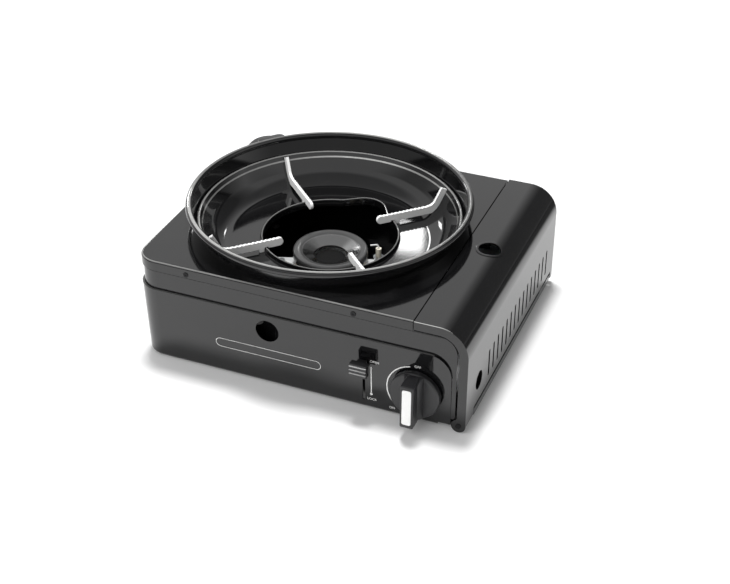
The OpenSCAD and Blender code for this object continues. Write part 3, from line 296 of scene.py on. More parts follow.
def makeLead():
    corners = [Vector(p) * mm for p in leadSet["route"]]
    points = smoothRoute(corners, leadSet["stepsPerStretch"])
    curve = bpy.data.curves.new("igniterLead", "CURVE")
    curve.dimensions = "3D"
    curve.bevel_depth = 1  # each knot's radius gives the real thickness
    curve.bevel_resolution = leadSet["roundness"]
    curve.resolution_u = leadSet["smoothness"]
    curve.use_fill_caps = True
    spline = curve.splines.new("BEZIER")
    spline.bezier_points.add(len(points) - 1)
    for knot, place in zip(spline.bezier_points, points):
        knot.co = place
        knot.radius = leadSet["diameter"] / 2 * mm
        knot.handle_left_type = knot.handle_right_type = "AUTO"
    lead = addObject("igniterLead", curve)
    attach(lead, "case")
    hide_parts("igniter_lead")
    return lead


igniterLead = makeLead()
print("lead laid")

# Studio: white floor, soft boxes, white walls under a grey ceiling

studioSet = {
    "floorSize": 12,
    "floorColor": "#f2f2f2",
    "floorGlow": 0.03,
    "farColor": "#4a4a4a",
    "farWay": (0.63, 0.77, 0),
    "farEdge": (0.42, 0.62),
    "glowColor": "#ffffff",
    "wallColor": "#eeeeee",
    "ceilingColor": "#a8a8a8",
    "ceilingEdge": (0.68, 0.82),
    "skyLight": 0.6,
    "frontColor": "#a0a0a0",
    "frontTop": (0.42, 0.32),
    "frontSide": (0.3, -0.3),
    "cornerColor": "#686868",
    "cornerWay": (0.47, 0.80, 0.37),
    "cornerEdge": (0.76, 0.95),
    "aim": (0, 0, 0.08),
}
lampSets = {
    "topBox": {"at": (-0.33, 0.66, 3.8), "size": 0.7, "power": 130, "mirrored": False},
    "frontBox": {"at": (-0.4, -1.5, 1.3), "size": 1.2, "power": 13, "mirrored": False},
    "armBox": {"at": (-0.95, -1.15, 1.3), "size": 0.8, "power": 11, "mirrored": False,
               "lights": "pan_support"},
    "backBox": {"at": (-0.92, 0.76, 0.60), "size": 0.14, "power": 0.8, "mirrored": True},
    "lowBox": {"at": (-0.234, 0.826, 0.594), "size": 0.045, "power": 0.09, "mirrored": True},
}


def addFloor():  # white paper, greyer far off at the right where the gloss mirrors it
    deselectAll()
    bpy.ops.mesh.primitive_plane_add(size=studioSet["floorSize"])
    floor = bpy.context.object
    floor.name = "studioFloor"
    material, tree, place = newMaterial("white paper sweep")
    path = addNode(tree, "ShaderNodeLightPath")
    away = addNode(tree, "ShaderNodeVectorMath", {0: place, 1: studioSet["farWay"]}, operation="DOT_PRODUCT")
    start, end = studioSet["farEdge"]
    far = addNode(tree, "ShaderNodeMapRange", {"Value": away.outputs["Value"], "From Min": start,
                  "From Max": end})
    mirrored = addNode(tree, "ShaderNodeMath", {0: far.outputs[0], 1: path.outputs["Is Glossy Ray"]},
                       operation="MULTIPLY")
    paper = addNode(tree, "ShaderNodeMix", {0: mirrored.outputs[0], 6: hexColor(studioSet["floorColor"]),
                    7: hexColor(studioSet["farColor"])}, data_type="RGBA")
    paint = addNode(tree, "ShaderNodeBsdfDiffuse", {"Color": paper.outputs[2]})
    seen = path.outputs["Is Camera Ray"]
    for ray in ("Is Glossy Ray", "Is Transmission Ray"):
        either = addNode(tree, "ShaderNodeMath", {0: seen, 1: path.outputs[ray]}, operation="MAXIMUM")
        seen = either.outputs[0]
    strength = addNode(tree, "ShaderNodeMath", {0: seen, 1: studioSet["floorGlow"]}, operation="MULTIPLY")
    glow = addNode(tree, "ShaderNodeEmission", {"Color": hexColor(studioSet["glowColor"]),
                   "Strength": strength.outputs[0]})
    both = addNode(tree, "ShaderNodeAddShader", {0: paint.outputs[0], 1: glow.outputs[0]})
    addNode(tree, "ShaderNodeOutputMaterial", {"Surface": both.outputs[0]})
    floor.data.materials.append(material)


def addLamp(name, box):
    light = bpy.data.lights.new(name, "AREA")
    light.shape = "SQUARE"
    light.size = box["size"]
    light.energy = box["power"]
    holder = addObject(name, light)
    holder.location = box["at"]
    aim = Vector(box["at"]) - Vector(studioSet["aim"])
    holder.rotation_euler = aim.to_track_quat("Z", "Y").to_euler()
    holder.visible_glossy = box["mirrored"]
    if "lights" in box:  # this lamp lights only the nodes of that name
        lit = bpy.data.collections.new(name + "Lit")
        for node in nodes:
            if node.startswith(box["lights"]):
                lit.objects.link(nodes[node])
        holder.light_linking.receiver_collection = lit


# What the gloss mirrors: pale walls, grey ceiling, a grey front and a darker corner at the right
def addWorld():
    world = bpy.data.worlds.new("pale studio")
    scene.world = world
    world.use_nodes = True
    tree = world.node_tree
    tree.nodes.clear()
    way = addNode(tree, "ShaderNodeTexCoord").outputs["Generated"]
    axes = addNode(tree, "ShaderNodeSeparateXYZ", {0: way})
    room = addNode(tree, "ShaderNodeValToRGB", {"Fac": axes.outputs["Z"]},
                   (studioSet["wallColor"], studioSet["ceilingColor"]), studioSet["ceilingEdge"])
    top, bottom = studioSet["frontTop"]
    low = addNode(tree, "ShaderNodeMapRange", {"Value": axes.outputs["Z"], "From Min": top,
                  "From Max": bottom})
    back, front = studioSet["frontSide"]
    facing = addNode(tree, "ShaderNodeMapRange", {"Value": axes.outputs["Y"], "From Min": back,
                     "From Max": front})
    desk = addNode(tree, "ShaderNodeMath", {0: low.outputs[0], 1: facing.outputs[0]}, operation="MULTIPLY")
    greyed = addNode(tree, "ShaderNodeMix", {0: desk.outputs[0], 6: room.outputs["Color"],
                     7: hexColor(studioSet["frontColor"])}, data_type="RGBA")
    side = addNode(tree, "ShaderNodeVectorMath", {0: way, 1: studioSet["cornerWay"]}, operation="DOT_PRODUCT")
    start, end = studioSet["cornerEdge"]
    corner = addNode(tree, "ShaderNodeMapRange", {"Value": side.outputs["Value"], "From Min": start,
                     "From Max": end})
    walls = addNode(tree, "ShaderNodeMix", {0: corner.outputs[0], 6: greyed.outputs[2],
                    7: hexColor(studioSet["cornerColor"])}, data_type="RGBA")
    path = addNode(tree, "ShaderNodeLightPath")
    mirror = addNode(tree, "ShaderNodeMath", {0: path.outputs["Is Glossy Ray"],
                     1: path.outputs["Is Transmission Ray"]}, operation="MAXIMUM")
    fill = addNode(tree, "ShaderNodeBackground", {"Color": room.outputs["Color"],
                   "Strength": studioSet["skyLight"]})
    seen = addNode(tree, "ShaderNodeBackground", {"Color": walls.outputs[2], "Strength": 1.0})
    plain = addNode(tree, "ShaderNodeBackground", {"Color": hexColor(studioSet["glowColor"]),
                    "Strength": 1.0})
    inside = addNode(tree, "ShaderNodeMixShader", {0: mirror.outputs[0], 1: fill.outputs[0],
                     2: seen.outputs[0]})
    whole = addNode(tree, "ShaderNodeMixShader", {0: path.outputs["Is Camera Ray"], 1: inside.outputs[0],
                    2: plain.outputs[0]})
    addNode(tree, "ShaderNodeOutputWorld", {"Surface": whole.outputs[0]})


addFloor()
addWorld()
for lampName, lampBox in lampSets.items():
    addLamp(lampName, lampBox)
scene.view_settings.view_transform = "Standard"
print("studio lit")

# Enamel: black, vitreous, fired on pressed steel, which gives a deep gloss that drifts a little in tone

enamelSet = {
    "colors": ("#0b0b0c", "#131314"),
    "cloud": (30, 3.0),  # pattern size in millimetres, detail
    "peel": (2.2, 1.0),
    "relief": (0.04, 0.2),  # strength, depth in millimetres
    "gloss": (0.05, 0.10),
    "ior": 1.62,
    # bright steel colour of the painted highlights
    "bare": "#dcdcda",
}


def startEnamel(name):
    material, tree, place = newMaterial(name)
    size, detail = enamelSet["cloud"]
    cloud = addNode(tree, "ShaderNodeTexNoise", {"Vector": place, "Scale": perMm(size), "Detail": detail})
    tint = addNode(tree, "ShaderNodeValToRGB", {"Fac": cloud.outputs["Fac"]}, enamelSet["colors"])
    shell = {"Base Color": tint.outputs["Color"], "IOR": enamelSet["ior"]}
    return material, tree, place, shell, cloud.outputs["Fac"]


def varyGloss(tree, cloud):
    low, high = enamelSet["gloss"]
    return addNode(tree, "ShaderNodeMapRange", {"Value": cloud, "To Min": low, "To Max": high}).outputs[0]


def addPeel(tree, place):  # a little orange peel
    size, detail = enamelSet["peel"]
    peel = addNode(tree, "ShaderNodeTexNoise", {"Vector": place, "Scale": perMm(size), "Detail": detail})
    strength, depth = enamelSet["relief"]
    return addNode(tree, "ShaderNodeBump", {"Height": peel.outputs["Fac"], "Strength": strength,
                   "Distance": depth * mm}).outputs[0]


def paintSteelHighlight(tree, shell, highlightMask):  # painted highlight: bright steel colour and metal where the mask is
    steel = addNode(tree, "ShaderNodeMix", {0: highlightMask, 6: shell["Base Color"], 7: hexColor(enamelSet["bare"])},
                    data_type="RGBA")
    shell["Base Color"] = steel.outputs[2]
    shell["Metallic"] = highlightMask


def makeEnamel():
    material, tree, place, shell, cloud = startEnamel("black enamel fired gloss")
    shell["Roughness"] = varyGloss(tree, cloud)
    shell["Normal"] = addPeel(tree, place)
    return coat(material, shell)


# Enamel with painted highlights: bright steel painted along the rolled edges, the plate's edge and the step
# ledge, weaker on some sides

rimHighlightSet = {
    "breakup": (6, 3.0),
    "upward": (0.5, 0.8),  # z of the normal
    "flatBlur": 0.04,
    "least": 0.6,
    "stripe": (0.9, 0.5),  # half width where it starts, and where it is full
    "dimSides": [((1.0, 0.25, 0), 60, 105), ((-1.0, 0.45, 0), 120, 170)],  # way, and where it starts and ends
}
# where the painted highlights go on each piece, and how strong they are
rimSets = {
    "bowl": {"name": "black enamel with painted crest highlight", "edge": (117.7, 118.4), "share": 0.95, "line": 114.0,
             "dimShare": 0.4},
    "collar": {"name": "black enamel with painted collar highlight", "edge": (94.1, 94.5), "share": 0.45},
    "ring": {"name": "black enamel with painted rim highlight", "edge": (136.5, 136.85), "share": 0.95, "dimShare": 0.25},
    "plate": {"name": "black enamel with painted edge highlight", "edge": (112.3, 112.6), "share": 0.5, "flat": 0.93},
    "step": {"name": "black enamel with painted step highlight", "edge": (80.8, 81.2), "share": 0.18},
}


def makeRimHighlightEnamel(rim):
    material, tree, place, shell, cloud = startEnamel(rim["name"])
    shell["Roughness"] = varyGloss(tree, cloud)
    height = addNode(tree, "ShaderNodeSeparateXYZ", {0: place}).outputs["Z"]
    low, high = rim["edge"]
    level = addNode(tree, "ShaderNodeMapRange", {"Value": height, "From Min": low * mm,
                    "From Max": high * mm})
    normal = addNode(tree, "ShaderNodeNewGeometry").outputs["Normal"]
    lift = addNode(tree, "ShaderNodeSeparateXYZ", {0: normal}).outputs["Z"]
    low, high = rimHighlightSet["upward"]
    upward = addNode(tree, "ShaderNodeMapRange", {"Value": lift, "From Min": low, "From Max": high})
    shares = [upward]
    if "flat" in rim:  # flatter faces get no painted highlight
        shares.append(addNode(tree, "ShaderNodeMapRange", {"Value": lift, "From Max": rim["flat"],
                              "From Min": rim["flat"] + rimHighlightSet["flatBlur"]}))
    highlightMask = level.outputs[0]
    for share in shares:
        less = addNode(tree, "ShaderNodeMath", {0: highlightMask, 1: share.outputs[0]}, operation="MULTIPLY")
        highlightMask = less.outputs[0]
    if "line" in rim:  # a painted highlight stripe at this height
        away = addNode(tree, "ShaderNodeMath", {0: height, 1: rim["line"] * mm}, operation="SUBTRACT")
        distance = addNode(tree, "ShaderNodeMath", {0: away.outputs[0]}, operation="ABSOLUTE")
        outer, inner = rimHighlightSet["stripe"]
        stripe = addNode(tree, "ShaderNodeMapRange", {"Value": distance.outputs[0], "From Min": outer * mm,
                         "From Max": inner * mm})
        more = addNode(tree, "ShaderNodeMath", {0: highlightMask, 1: stripe.outputs[0]}, operation="MAXIMUM")
        highlightMask = more.outputs[0]
    # noise makes the painted highlight patchy
    size, detail = rimHighlightSet["breakup"]
    breakup = addNode(tree, "ShaderNodeTexNoise", {"Vector": place, "Scale": perMm(size), "Detail": detail})
    shares = [addNode(tree, "ShaderNodeMapRange", {"Value": breakup.outputs["Fac"],
                      "To Min": rimHighlightSet["least"] * rim["share"], "To Max": rim["share"]})]
    if "dimShare" in rim:  # the painted highlight is weaker on these sides
        for way, start, end in rimHighlightSet["dimSides"]:
            toSide = addNode(tree, "ShaderNodeVectorMath", {0: place, 1: way}, operation="DOT_PRODUCT")
            shares.append(addNode(tree, "ShaderNodeMapRange", {"Value": toSide.outputs["Value"],
                                  "From Min": start * mm, "From Max": end * mm, "To Min": 1.0,
                                  "To Max": rim["dimShare"]}))
    for share in shares:
        less = addNode(tree, "ShaderNodeMath", {0: highlightMask, 1: share.outputs[0]}, operation="MULTIPLY")
        highlightMask = less.outputs[0]
    paintSteelHighlight(tree, shell, highlightMask)
    return coat(material, shell)


# Cover's enamel: dull and dark on the punched edges of the vents as painted shade in the slots, with a
# painted highlight of bright steel along the front edge

punchSet = {
    "cutEdge": 0.7,  # y of the normal
    "reach": 130,  # the vents lie within this of the middle
    "strip": (1.3, 0.7),  # from the front edge
    "upward": (0.9, 0.98),
    # specular level and roughness: plain, then on the cut edges, where the dull black paints shade in the
    # slots
    "shine": (0.5, 0.03),
    "gloss": (0.07, 0.9),
}


def makePunchedEnamel():
    material, tree, place, shell = startEnamel("black enamel with painted vent shade and edge highlight")[:4]
    spot = addNode(tree, "ShaderNodeSeparateXYZ", {0: place})
    normal = addNode(tree, "ShaderNodeNewGeometry").outputs["True Normal"]
    facing = addNode(tree, "ShaderNodeSeparateXYZ", {0: normal})
    along = addNode(tree, "ShaderNodeMath", {0: facing.outputs["Y"]}, operation="ABSOLUTE")
    cut = addNode(tree, "ShaderNodeMath", {0: along.outputs[0], 1: punchSet["cutEdge"]},
                  operation="GREATER_THAN")
    depth = addNode(tree, "ShaderNodeMath", {0: spot.outputs["Y"], 1: burnerAt[1] * mm}, operation="SUBTRACT")
    far = addNode(tree, "ShaderNodeMath", {0: depth.outputs[0]}, operation="ABSOLUTE")
    within = addNode(tree, "ShaderNodeMath", {0: far.outputs[0], 1: punchSet["reach"] * mm},
                     operation="LESS_THAN")
    slotShade = addNode(tree, "ShaderNodeMath", {0: cut.outputs[0], 1: within.outputs[0]}, operation="MULTIPLY")
    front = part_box("cartridge_cover")[0][1]
    # strip of painted highlight along the front edge
    inner, outer = punchSet["strip"]
    strip = addNode(tree, "ShaderNodeMapRange", {"Value": spot.outputs["Y"], "From Min": front + inner * mm,
                    "From Max": front + outer * mm})
    low, high = punchSet["upward"]
    upward = addNode(tree, "ShaderNodeMapRange", {"Value": facing.outputs["Z"], "From Min": low,
                     "From Max": high})
    highlightMask = addNode(tree, "ShaderNodeMath", {0: strip.outputs[0], 1: upward.outputs[0]}, operation="MULTIPLY")
    paintSteelHighlight(tree, shell, highlightMask.outputs[0])
    for socket, key in (("Specular IOR Level", "shine"), ("Roughness", "gloss")):
        plain, dull = punchSet[key]
        shell[socket] = addNode(tree, "ShaderNodeMapRange", {"Value": slotShade.outputs[0], "To Min": plain,
                                "To Max": dull}).outputs[0]
    shell["Normal"] = addPeel(tree, place)
    return coat(material, shell)


# Plain finishes: a tint that drifts, and a grain that varies gloss and relief
# Cloud and grain give a size in millimetres and a detail, relief a strength and a depth in millimetres

finishSets = {
    "plated_steel": {  # satin nickel on punched steel bar: pale, soft sheen, fine tumbling marks
        "name": "nickel plated steel tumbled", "colors": ("#f6f6f4", "#ffffff"), "cloud": (9, 3.0),
        "grain": (0.8, 3.0), "gloss": (0.4, 0.6), "relief": (0.25, 0.05), "shell": {"Metallic": 0.1}},
    "zinc_steel": {  # zinc plated sheet: pale grey with a faint crystal spangle
        "name": "zinc plated steel sheet", "colors": ("#aeb2b5", "#d2d5d6"), "spangle": 5,
        "grain": (0.7, 3.0), "gloss": (0.26, 0.46), "relief": (0.2, 0.05), "shell": {"Metallic": 1.0}},
    "cast_aluminium": {  # pressure cast aluminium: matte grey with a pebbled skin
        "name": "aluminium pressure cast", "colors": ("#d6d8d8", "#f0f1f1"), "cloud": (14, 2.0),
        "grain": (0.9, 4.0), "gloss": (0.4, 0.6), "relief": (0.4, 0.1), "shell": {"Metallic": 0.3}},
    "shade_black_iron": {  # iron inside the burner: matte black with a dusty grain, the black being painted shade of the deep centre
        "name": "cast iron matte black", "colors": ("#0c0c0c", "#1a1a1a"), "grain": (1.5, 4.0),
        "relief": (0.4, 0.1), "shell": {"IOR": 1.4, "Roughness": 0.75}},
    "brass": {  # turned brass: warm yellow, slightly tarnished
        "name": "brass turned", "colors": ("#a8823c", "#d0ab5c"), "grain": (4, 4.0), "gloss": (0.2, 0.36),
        "shell": {"Metallic": 1.0}},
    "ceramic": {  # glazed steatite: cream white with a thin wet gloss
        "name": "steatite ceramic glazed", "colors": ("#e2dac4", "#f3eedf"), "grain": (1.2, 3.0),
        "gloss": (0.1, 0.2), "shell": {"IOR": 1.55}},
    "black_rubber": {  # moulded nitrile rubber: dull black, faint bloom
        "name": "nitrile rubber moulded", "colors": ("#121212", "#202020"), "grain": (3, 4.0),
        "relief": (0.2, 0.1), "shell": {"IOR": 1.52, "Roughness": 0.62}},
    "black_plastic": {  # moulded black ABS: satin, with the fine spark grain of the mould
        "name": "ABS moulded satin", "colors": ("#161617", "#232325"), "grain": (0.6, 2.0),
        "gloss": (0.28, 0.4), "relief": (0.12, 0.05), "shell": {"IOR": 1.54}},
    "ridge_highlight_plastic": {  # the lever's ABS, with a painted highlight on the upper faces of its ridges
        "name": "ABS moulded with thumbed ridges", "colors": ("#161617", "#232325"), "grain": (0.6, 2.0),
        "gloss": (0.28, 0.4), "ridges": ((-144.4, -144.7), (0.05, 0.4), "#b4b4b4"), "shell": {"IOR": 1.54}},
    "pale_plastic": {  # screen printed white ink: flat white with a slightly uneven film
        "name": "white ink screen printed", "colors": ("#ececea", "#fbfbfa"), "grain": (0.8, 3.0),
        "shell": {"IOR": 1.5, "Roughness": 0.4}},
    "black_oxide": {  # black oxide on screw steel: near black with a dull metal edge
        "name": "steel black oxide", "colors": ("#1b1b1c", "#353536"), "grain": (0.9, 4.0),
        "gloss": (0.25, 0.4), "shell": {"Metallic": 0.8}},
}


def paintRidgeHighlights(tree, place, tint, ridges):  # painted highlight on the ridges' upper faces; depths in millimetres, z of the normal, colour
    (start, end), (low, high), pale = ridges
    depth = addNode(tree, "ShaderNodeSeparateXYZ", {0: place}).outputs["Y"]
    out = addNode(tree, "ShaderNodeMapRange", {"Value": depth, "From Min": start * mm, "From Max": end * mm})
    normal = addNode(tree, "ShaderNodeNewGeometry").outputs["Normal"]
    lift = addNode(tree, "ShaderNodeSeparateXYZ", {0: normal}).outputs["Z"]
    upper = addNode(tree, "ShaderNodeMapRange", {"Value": lift, "From Min": low, "From Max": high})
    ridgeHighlight = addNode(tree, "ShaderNodeMath", {0: out.outputs[0], 1: upper.outputs[0]}, operation="MULTIPLY")
    return addNode(tree, "ShaderNodeMix", {0: ridgeHighlight.outputs[0], 6: tint.outputs["Color"], 7: hexColor(pale)},
                   data_type="RGBA").outputs[2]


def makeFinish(look):
    material, tree, place = newMaterial(look["name"])
    size, detail = look["grain"]
    grain = addNode(tree, "ShaderNodeTexNoise", {"Vector": place, "Scale": perMm(size), "Detail": detail})
    drift = grain.outputs["Fac"]
    if "cloud" in look:
        size, detail = look["cloud"]
        drift = addNode(tree, "ShaderNodeTexNoise", {"Vector": place, "Scale": perMm(size),
                        "Detail": detail}).outputs["Fac"]
    if "spangle" in look:
        drift = addNode(tree, "ShaderNodeTexVoronoi", {"Vector": place,
                        "Scale": perMm(look["spangle"])}).outputs["Color"]
    tint = addNode(tree, "ShaderNodeValToRGB", {"Fac": drift}, look["colors"])
    shell = {"Base Color": tint.outputs["Color"], **look["shell"]}
    if "gloss" in look:
        low, high = look["gloss"]
        gloss = addNode(tree, "ShaderNodeMapRange", {"Value": grain.outputs["Fac"], "To Min": low,
                        "To Max": high})
        shell["Roughness"] = gloss.outputs[0]
    if "relief" in look:
        strength, depth = look["relief"]
        bump = addNode(tree, "ShaderNodeBump", {"Height": grain.outputs["Fac"], "Strength": strength,
                       "Distance": depth * mm})
        shell["Normal"] = bump.outputs[0]
    if "ridges" in look:
        shell["Base Color"] = paintRidgeHighlights(tree, place, tint, look["ridges"])
    return coat(material, shell)


# Turned iron: dish burnished bright, flange blackened by heat, faint rings from the lathe

ironSet = {
    "ringRadian": 1.6,  # rings 10 mm apart, coarser than real tool marks so that they show
    "waveRate": 20,  # radians of a wave texture for each unit of scale
    "wobble": 0.3,
    "soot": (7, 4.0),
    "dish": (18, 40),  # radii between which the colours spread
    "colors": ("#a4a4a4", "#505050"),
    "spread": (0.46, 0.54),
    "bare": (28, 30),  # radii between which the metal dulls
    "metal": (1.0, 0.3),
    "gloss": (0.14, 0.24),
    "relief": (0.06, 0.05),
}


def makeBurntIron():
    material, tree, place = newMaterial("cast iron turned and heat blackened")
    centre = (-burnerAt[0] * mm, -burnerAt[1] * mm, 0)
    centred = addNode(tree, "ShaderNodeMapping", {"Vector": place, "Location": centre})
    rings = addNode(tree, "ShaderNodeTexWave", {"Vector": centred.outputs[0], "Distortion": ironSet["wobble"],
                    "Scale": perMm(ironSet["ringRadian"]) / ironSet["waveRate"]},
                    wave_type="RINGS", rings_direction="Z")
    level = addNode(tree, "ShaderNodeVectorMath", {0: centred.outputs[0], 1: (1, 1, 0)}, operation="MULTIPLY")
    radius = addNode(tree, "ShaderNodeVectorMath", {0: level.outputs[0]}, operation="LENGTH").outputs["Value"]
    inner, outer = ironSet["dish"]
    across = addNode(tree, "ShaderNodeMapRange", {"Value": radius, "From Min": inner * mm,
                     "From Max": outer * mm})
    tint = addNode(tree, "ShaderNodeValToRGB", {"Fac": across.outputs[0]}, ironSet["colors"],
                   ironSet["spread"])
    inner, outer = ironSet["bare"]
    bright, burnt = ironSet["metal"]
    bare = addNode(tree, "ShaderNodeMapRange", {"Value": radius, "From Min": inner * mm,
                   "From Max": outer * mm, "To Min": bright, "To Max": burnt})
    size, detail = ironSet["soot"]
    soot = addNode(tree, "ShaderNodeTexNoise", {"Vector": place, "Scale": perMm(size), "Detail": detail})
    low, high = ironSet["gloss"]
    gloss = addNode(tree, "ShaderNodeMapRange", {"Value": soot.outputs["Fac"], "To Min": low, "To Max": high})
    strength, depth = ironSet["relief"]
    bump = addNode(tree, "ShaderNodeBump", {"Height": rings.outputs["Fac"], "Strength": strength,
                   "Distance": depth * mm})
    return coat(material, {"Base Color": tint.outputs["Color"], "Metallic": bare.outputs[0],
                           "Roughness": gloss.outputs[0], "Normal": bump.outputs[0]})


finishes = {slot: makeFinish(look) for slot, look in finishSets.items()}
finishes["black_enamel"] = makeEnamel()
finishes["burnt_iron"] = makeBurntIron()
rims = {name: makeRimHighlightEnamel(rim) for name, rim in rimSets.items()}
ownFinish = {
    "burner_core": finishes["shade_black_iron"],
    "hinge_pins": finishes["black_oxide"],
    "lock_lever": finishes["black_oxide"],
    "top_plate": rims["plate"],
    "lower_case": rims["step"],
    "cartridge_cover": makePunchedEnamel(),
}
for part in frame["record"]["subparts"]:
    holder = nodes[part["node"]]
    holder.data.materials.clear()
    holder.data.materials.append(ownFinish.get(part["node"], finishes[part["material_slot"]]))
igniterLead.data.materials.append(finishes["black_rubber"])
print("finishes on the frame")

# Bowl wall: one smooth pressing from the floor's edge to the rolled crest

bowlSet = {
    "bendCentre": (100, 114.9),
    "bendRadius": 25,
    "bendSteps": 28,
    "crestCentre": (131.2, 117.5),
    "crestRadius": 1.5,
    "crestEnd": -45,
    "crestSteps": 20,
    "wallTurn": 62.58,
    "sheet": 1.2,
    "skirtLow": 114.7,
    "steps": 192,
}


def makeBowlWall():
    turn, bend, sheet = bowlSet["wallTurn"], bowlSet["bendCentre"], bowlSet["sheet"]
    radius, low = bowlSet["bendRadius"], bowlSet["skirtLow"]
    inner = arc(bend, radius, -90, turn - 90, bowlSet["bendSteps"])
    roll = arc(bowlSet["crestCentre"], bowlSet["crestRadius"], 90 + turn, bowlSet["crestEnd"],
               bowlSet["crestSteps"])
    edge, height = roll[-1]
    skirt = [(edge, low), (edge - sheet, low), (edge - sheet, height)]
    outer = arc(bend, radius + sheet, turn - 90, -90, bowlSet["bendSteps"])
    wall = spinSection("bowlWall", inner + roll + skirt + outer, bowlSet["steps"])
    finishPiece(wall, rims["bowl"], "bowl", ["drip_bowl"])


makeBowlWall()

# Collar: the raised lip round the opening, with a bay at the back

collarSet = {
    "radius": 68,
    "bayTurn": 78,
    "bayCentre": 61,
    "bayRadius": 22,
    "bayRound": 5,
    "steps": 240,
    "section": [(0, 86.8), (0, 93.0), (0.15, 93.8), (0.55, 94.4), (1.15, 94.68), (1.75, 94.4), (2.15, 93.8),
                (2.35, 92.8), (2.45, 91.6), (2.6, 90.7), (2.85, 90.15), (3.15, 89.92), (3.15, 89.5),
                (1.2, 89.5), (1.2, 86.8)],
    "smoothAngle": 50,
}


def collarOutline():
    reach = []
    total = collarSet["steps"]
    for i in range(total):
        turn = math.tau * i / total - math.radians(collarSet["bayTurn"])
        side = collarSet["bayCentre"] * math.sin(turn)
        chord = collarSet["bayRadius"] ** 2 - side ** 2
        bay = 0
        if chord > 0 and math.cos(turn) > 0:
            bay = collarSet["bayCentre"] * math.cos(turn) + math.sqrt(chord)
        reach.append(max(collarSet["radius"], bay))
    span = range(-collarSet["bayRound"], collarSet["bayRound"] + 1)
    even = [sum(reach[(i + k) % total] for k in span) / len(span) for i in range(total)]
    turns = [math.tau * i / total for i in range(total)]
    return [Vector((math.cos(t), math.sin(t))) * r for t, r in zip(turns, even)]


def makeCollar():
    line, section = collarOutline(), collarSet["section"]
    total, count = len(line), len(section)
    spots, faces = [], []
    for i, spot in enumerate(line):
        along = (line[(i + 1) % total] - line[i - 1]).normalized()
        out = Vector((along.y, -along.x))
        for grow, z in section:
            place = spot + out * grow
            spots.append(((burnerAt[0] + place.x) * mm, (burnerAt[1] + place.y) * mm, z * mm))
    for i in range(total):
        a, b = i * count, (i + 1) % total * count
        for k in range(count):
            faces.append((a + k, a + (k + 1) % count, b + (k + 1) % count, b + k))
    mesh = bpy.data.meshes.new("bowlCollar")
    mesh.from_pydata(spots, [], faces)
    collar = addObject("bowlCollar", mesh)
    editAll(collar)
    turnOutwards()
    finishPiece(collar, rims["collar"], "bowl", ["bowl_collar"], collarSet["smoothAngle"])


makeCollar()

# Wind ring: flared band with a foot, a rolled rim and a lifting tab

ringSet = {
    "foot": (130.5, 134),
    "footLow": 113.5,
    "sheet": 1.2,
    "flare": 0.4,
    "beadCentre": (140.2, 133.5),
    "beadRadius": 3.5,
    "beadTurns": (-86, 244),
    "beadSteps": 30,
    "tabTurn": 139,
    "tab": ((139.5, 150.2), 30, (134.3, 135.5)),  # reach, width, height
    "tabRound": (6, 8),  # size, segments
    "tabSoft": 0.3,
    "steps": 192,
}


def makeRingTab():
    (start, end), wide, (under, over) = ringSet["tab"]
    tab = addBlock("ringTab", (start, -wide / 2, under), (end, wide / 2, over))
    pickEdges(tab, lambda a, b: min(a.x, b.x) > end - near and abs(a.z - b.z) > near)
    bevelPicked(*ringSet["tabRound"])
    bevelEdges(tab, ringSet["tabSoft"])
    tab.rotation_euler = (0, 0, math.radians(ringSet["tabTurn"]))
    tab.location = (burnerAt[0] * mm, burnerAt[1] * mm, 0)
    settle(tab)
    return tab


def makeWindRing():
    inside, outside = ringSet["foot"]
    low, high = ringSet["footLow"], ringSet["footLow"] + ringSet["sheet"]
    bead = arc(ringSet["beadCentre"], ringSet["beadRadius"], *ringSet["beadTurns"], ringSet["beadSteps"])
    heel = outside - ringSet["sheet"] + ringSet["flare"] * ringSet["sheet"]
    section = [(inside, low), (outside, low)] + bead + [(heel, high), (inside, high)]
    ring = spinSection("windRing", section, ringSet["steps"])
    joinPieces(ring, [makeRingTab()])
    finishPiece(ring, rims["ring"], "bowl", ["wind_ring"])


makeWindRing()
print("bowl and ring pressed")

# Burner cap: broad flange with a steep dish down to the core

flameCapSet = {
    "section": [(36, 67.6), (38.0, 67.9), (38.4, 68.8), (38.4, 74.0), (38.1, 75.3), (37.4, 76.2),
                (36.4, 76.6), (35.2, 76.68), (33.5, 76.5), (31.2, 76.1), (30.2, 75.8), (29.4, 75.3),
                (17.6, 70.2), (17.0, 69.7), (16.8, 69.0), (16.8, 67.6)],
    "steps": 128,
    "smoothAngle": 30,
}
flameCap = spinSection("flameCap", flameCapSet["section"], flameCapSet["steps"])
finishPiece(flameCap, finishes["burnt_iron"], "case", ["burner_cap"],
            flameCapSet["smoothAngle"])

# Skirt shade strip: a thin dark strip on the band under the edge of the top plate's skirt, painted shade for
# the shadow line there

shadeStripSet = {
    "low": 101.1,
    "high": 102.15,
    "proud": 0.06,
    "leftOf": -140,
    "deeperThan": 135,
    "outward": 60,
}


def onSkirt(c, n):  # outer faces of the left, front and back
    depth = c.y - burnerAt[1]
    outside = c.x < shadeStripSet["leftOf"] or abs(depth) > shadeStripSet["deeperThan"]
    return outside and n.x * c.x + n.y * depth > shadeStripSet["outward"]


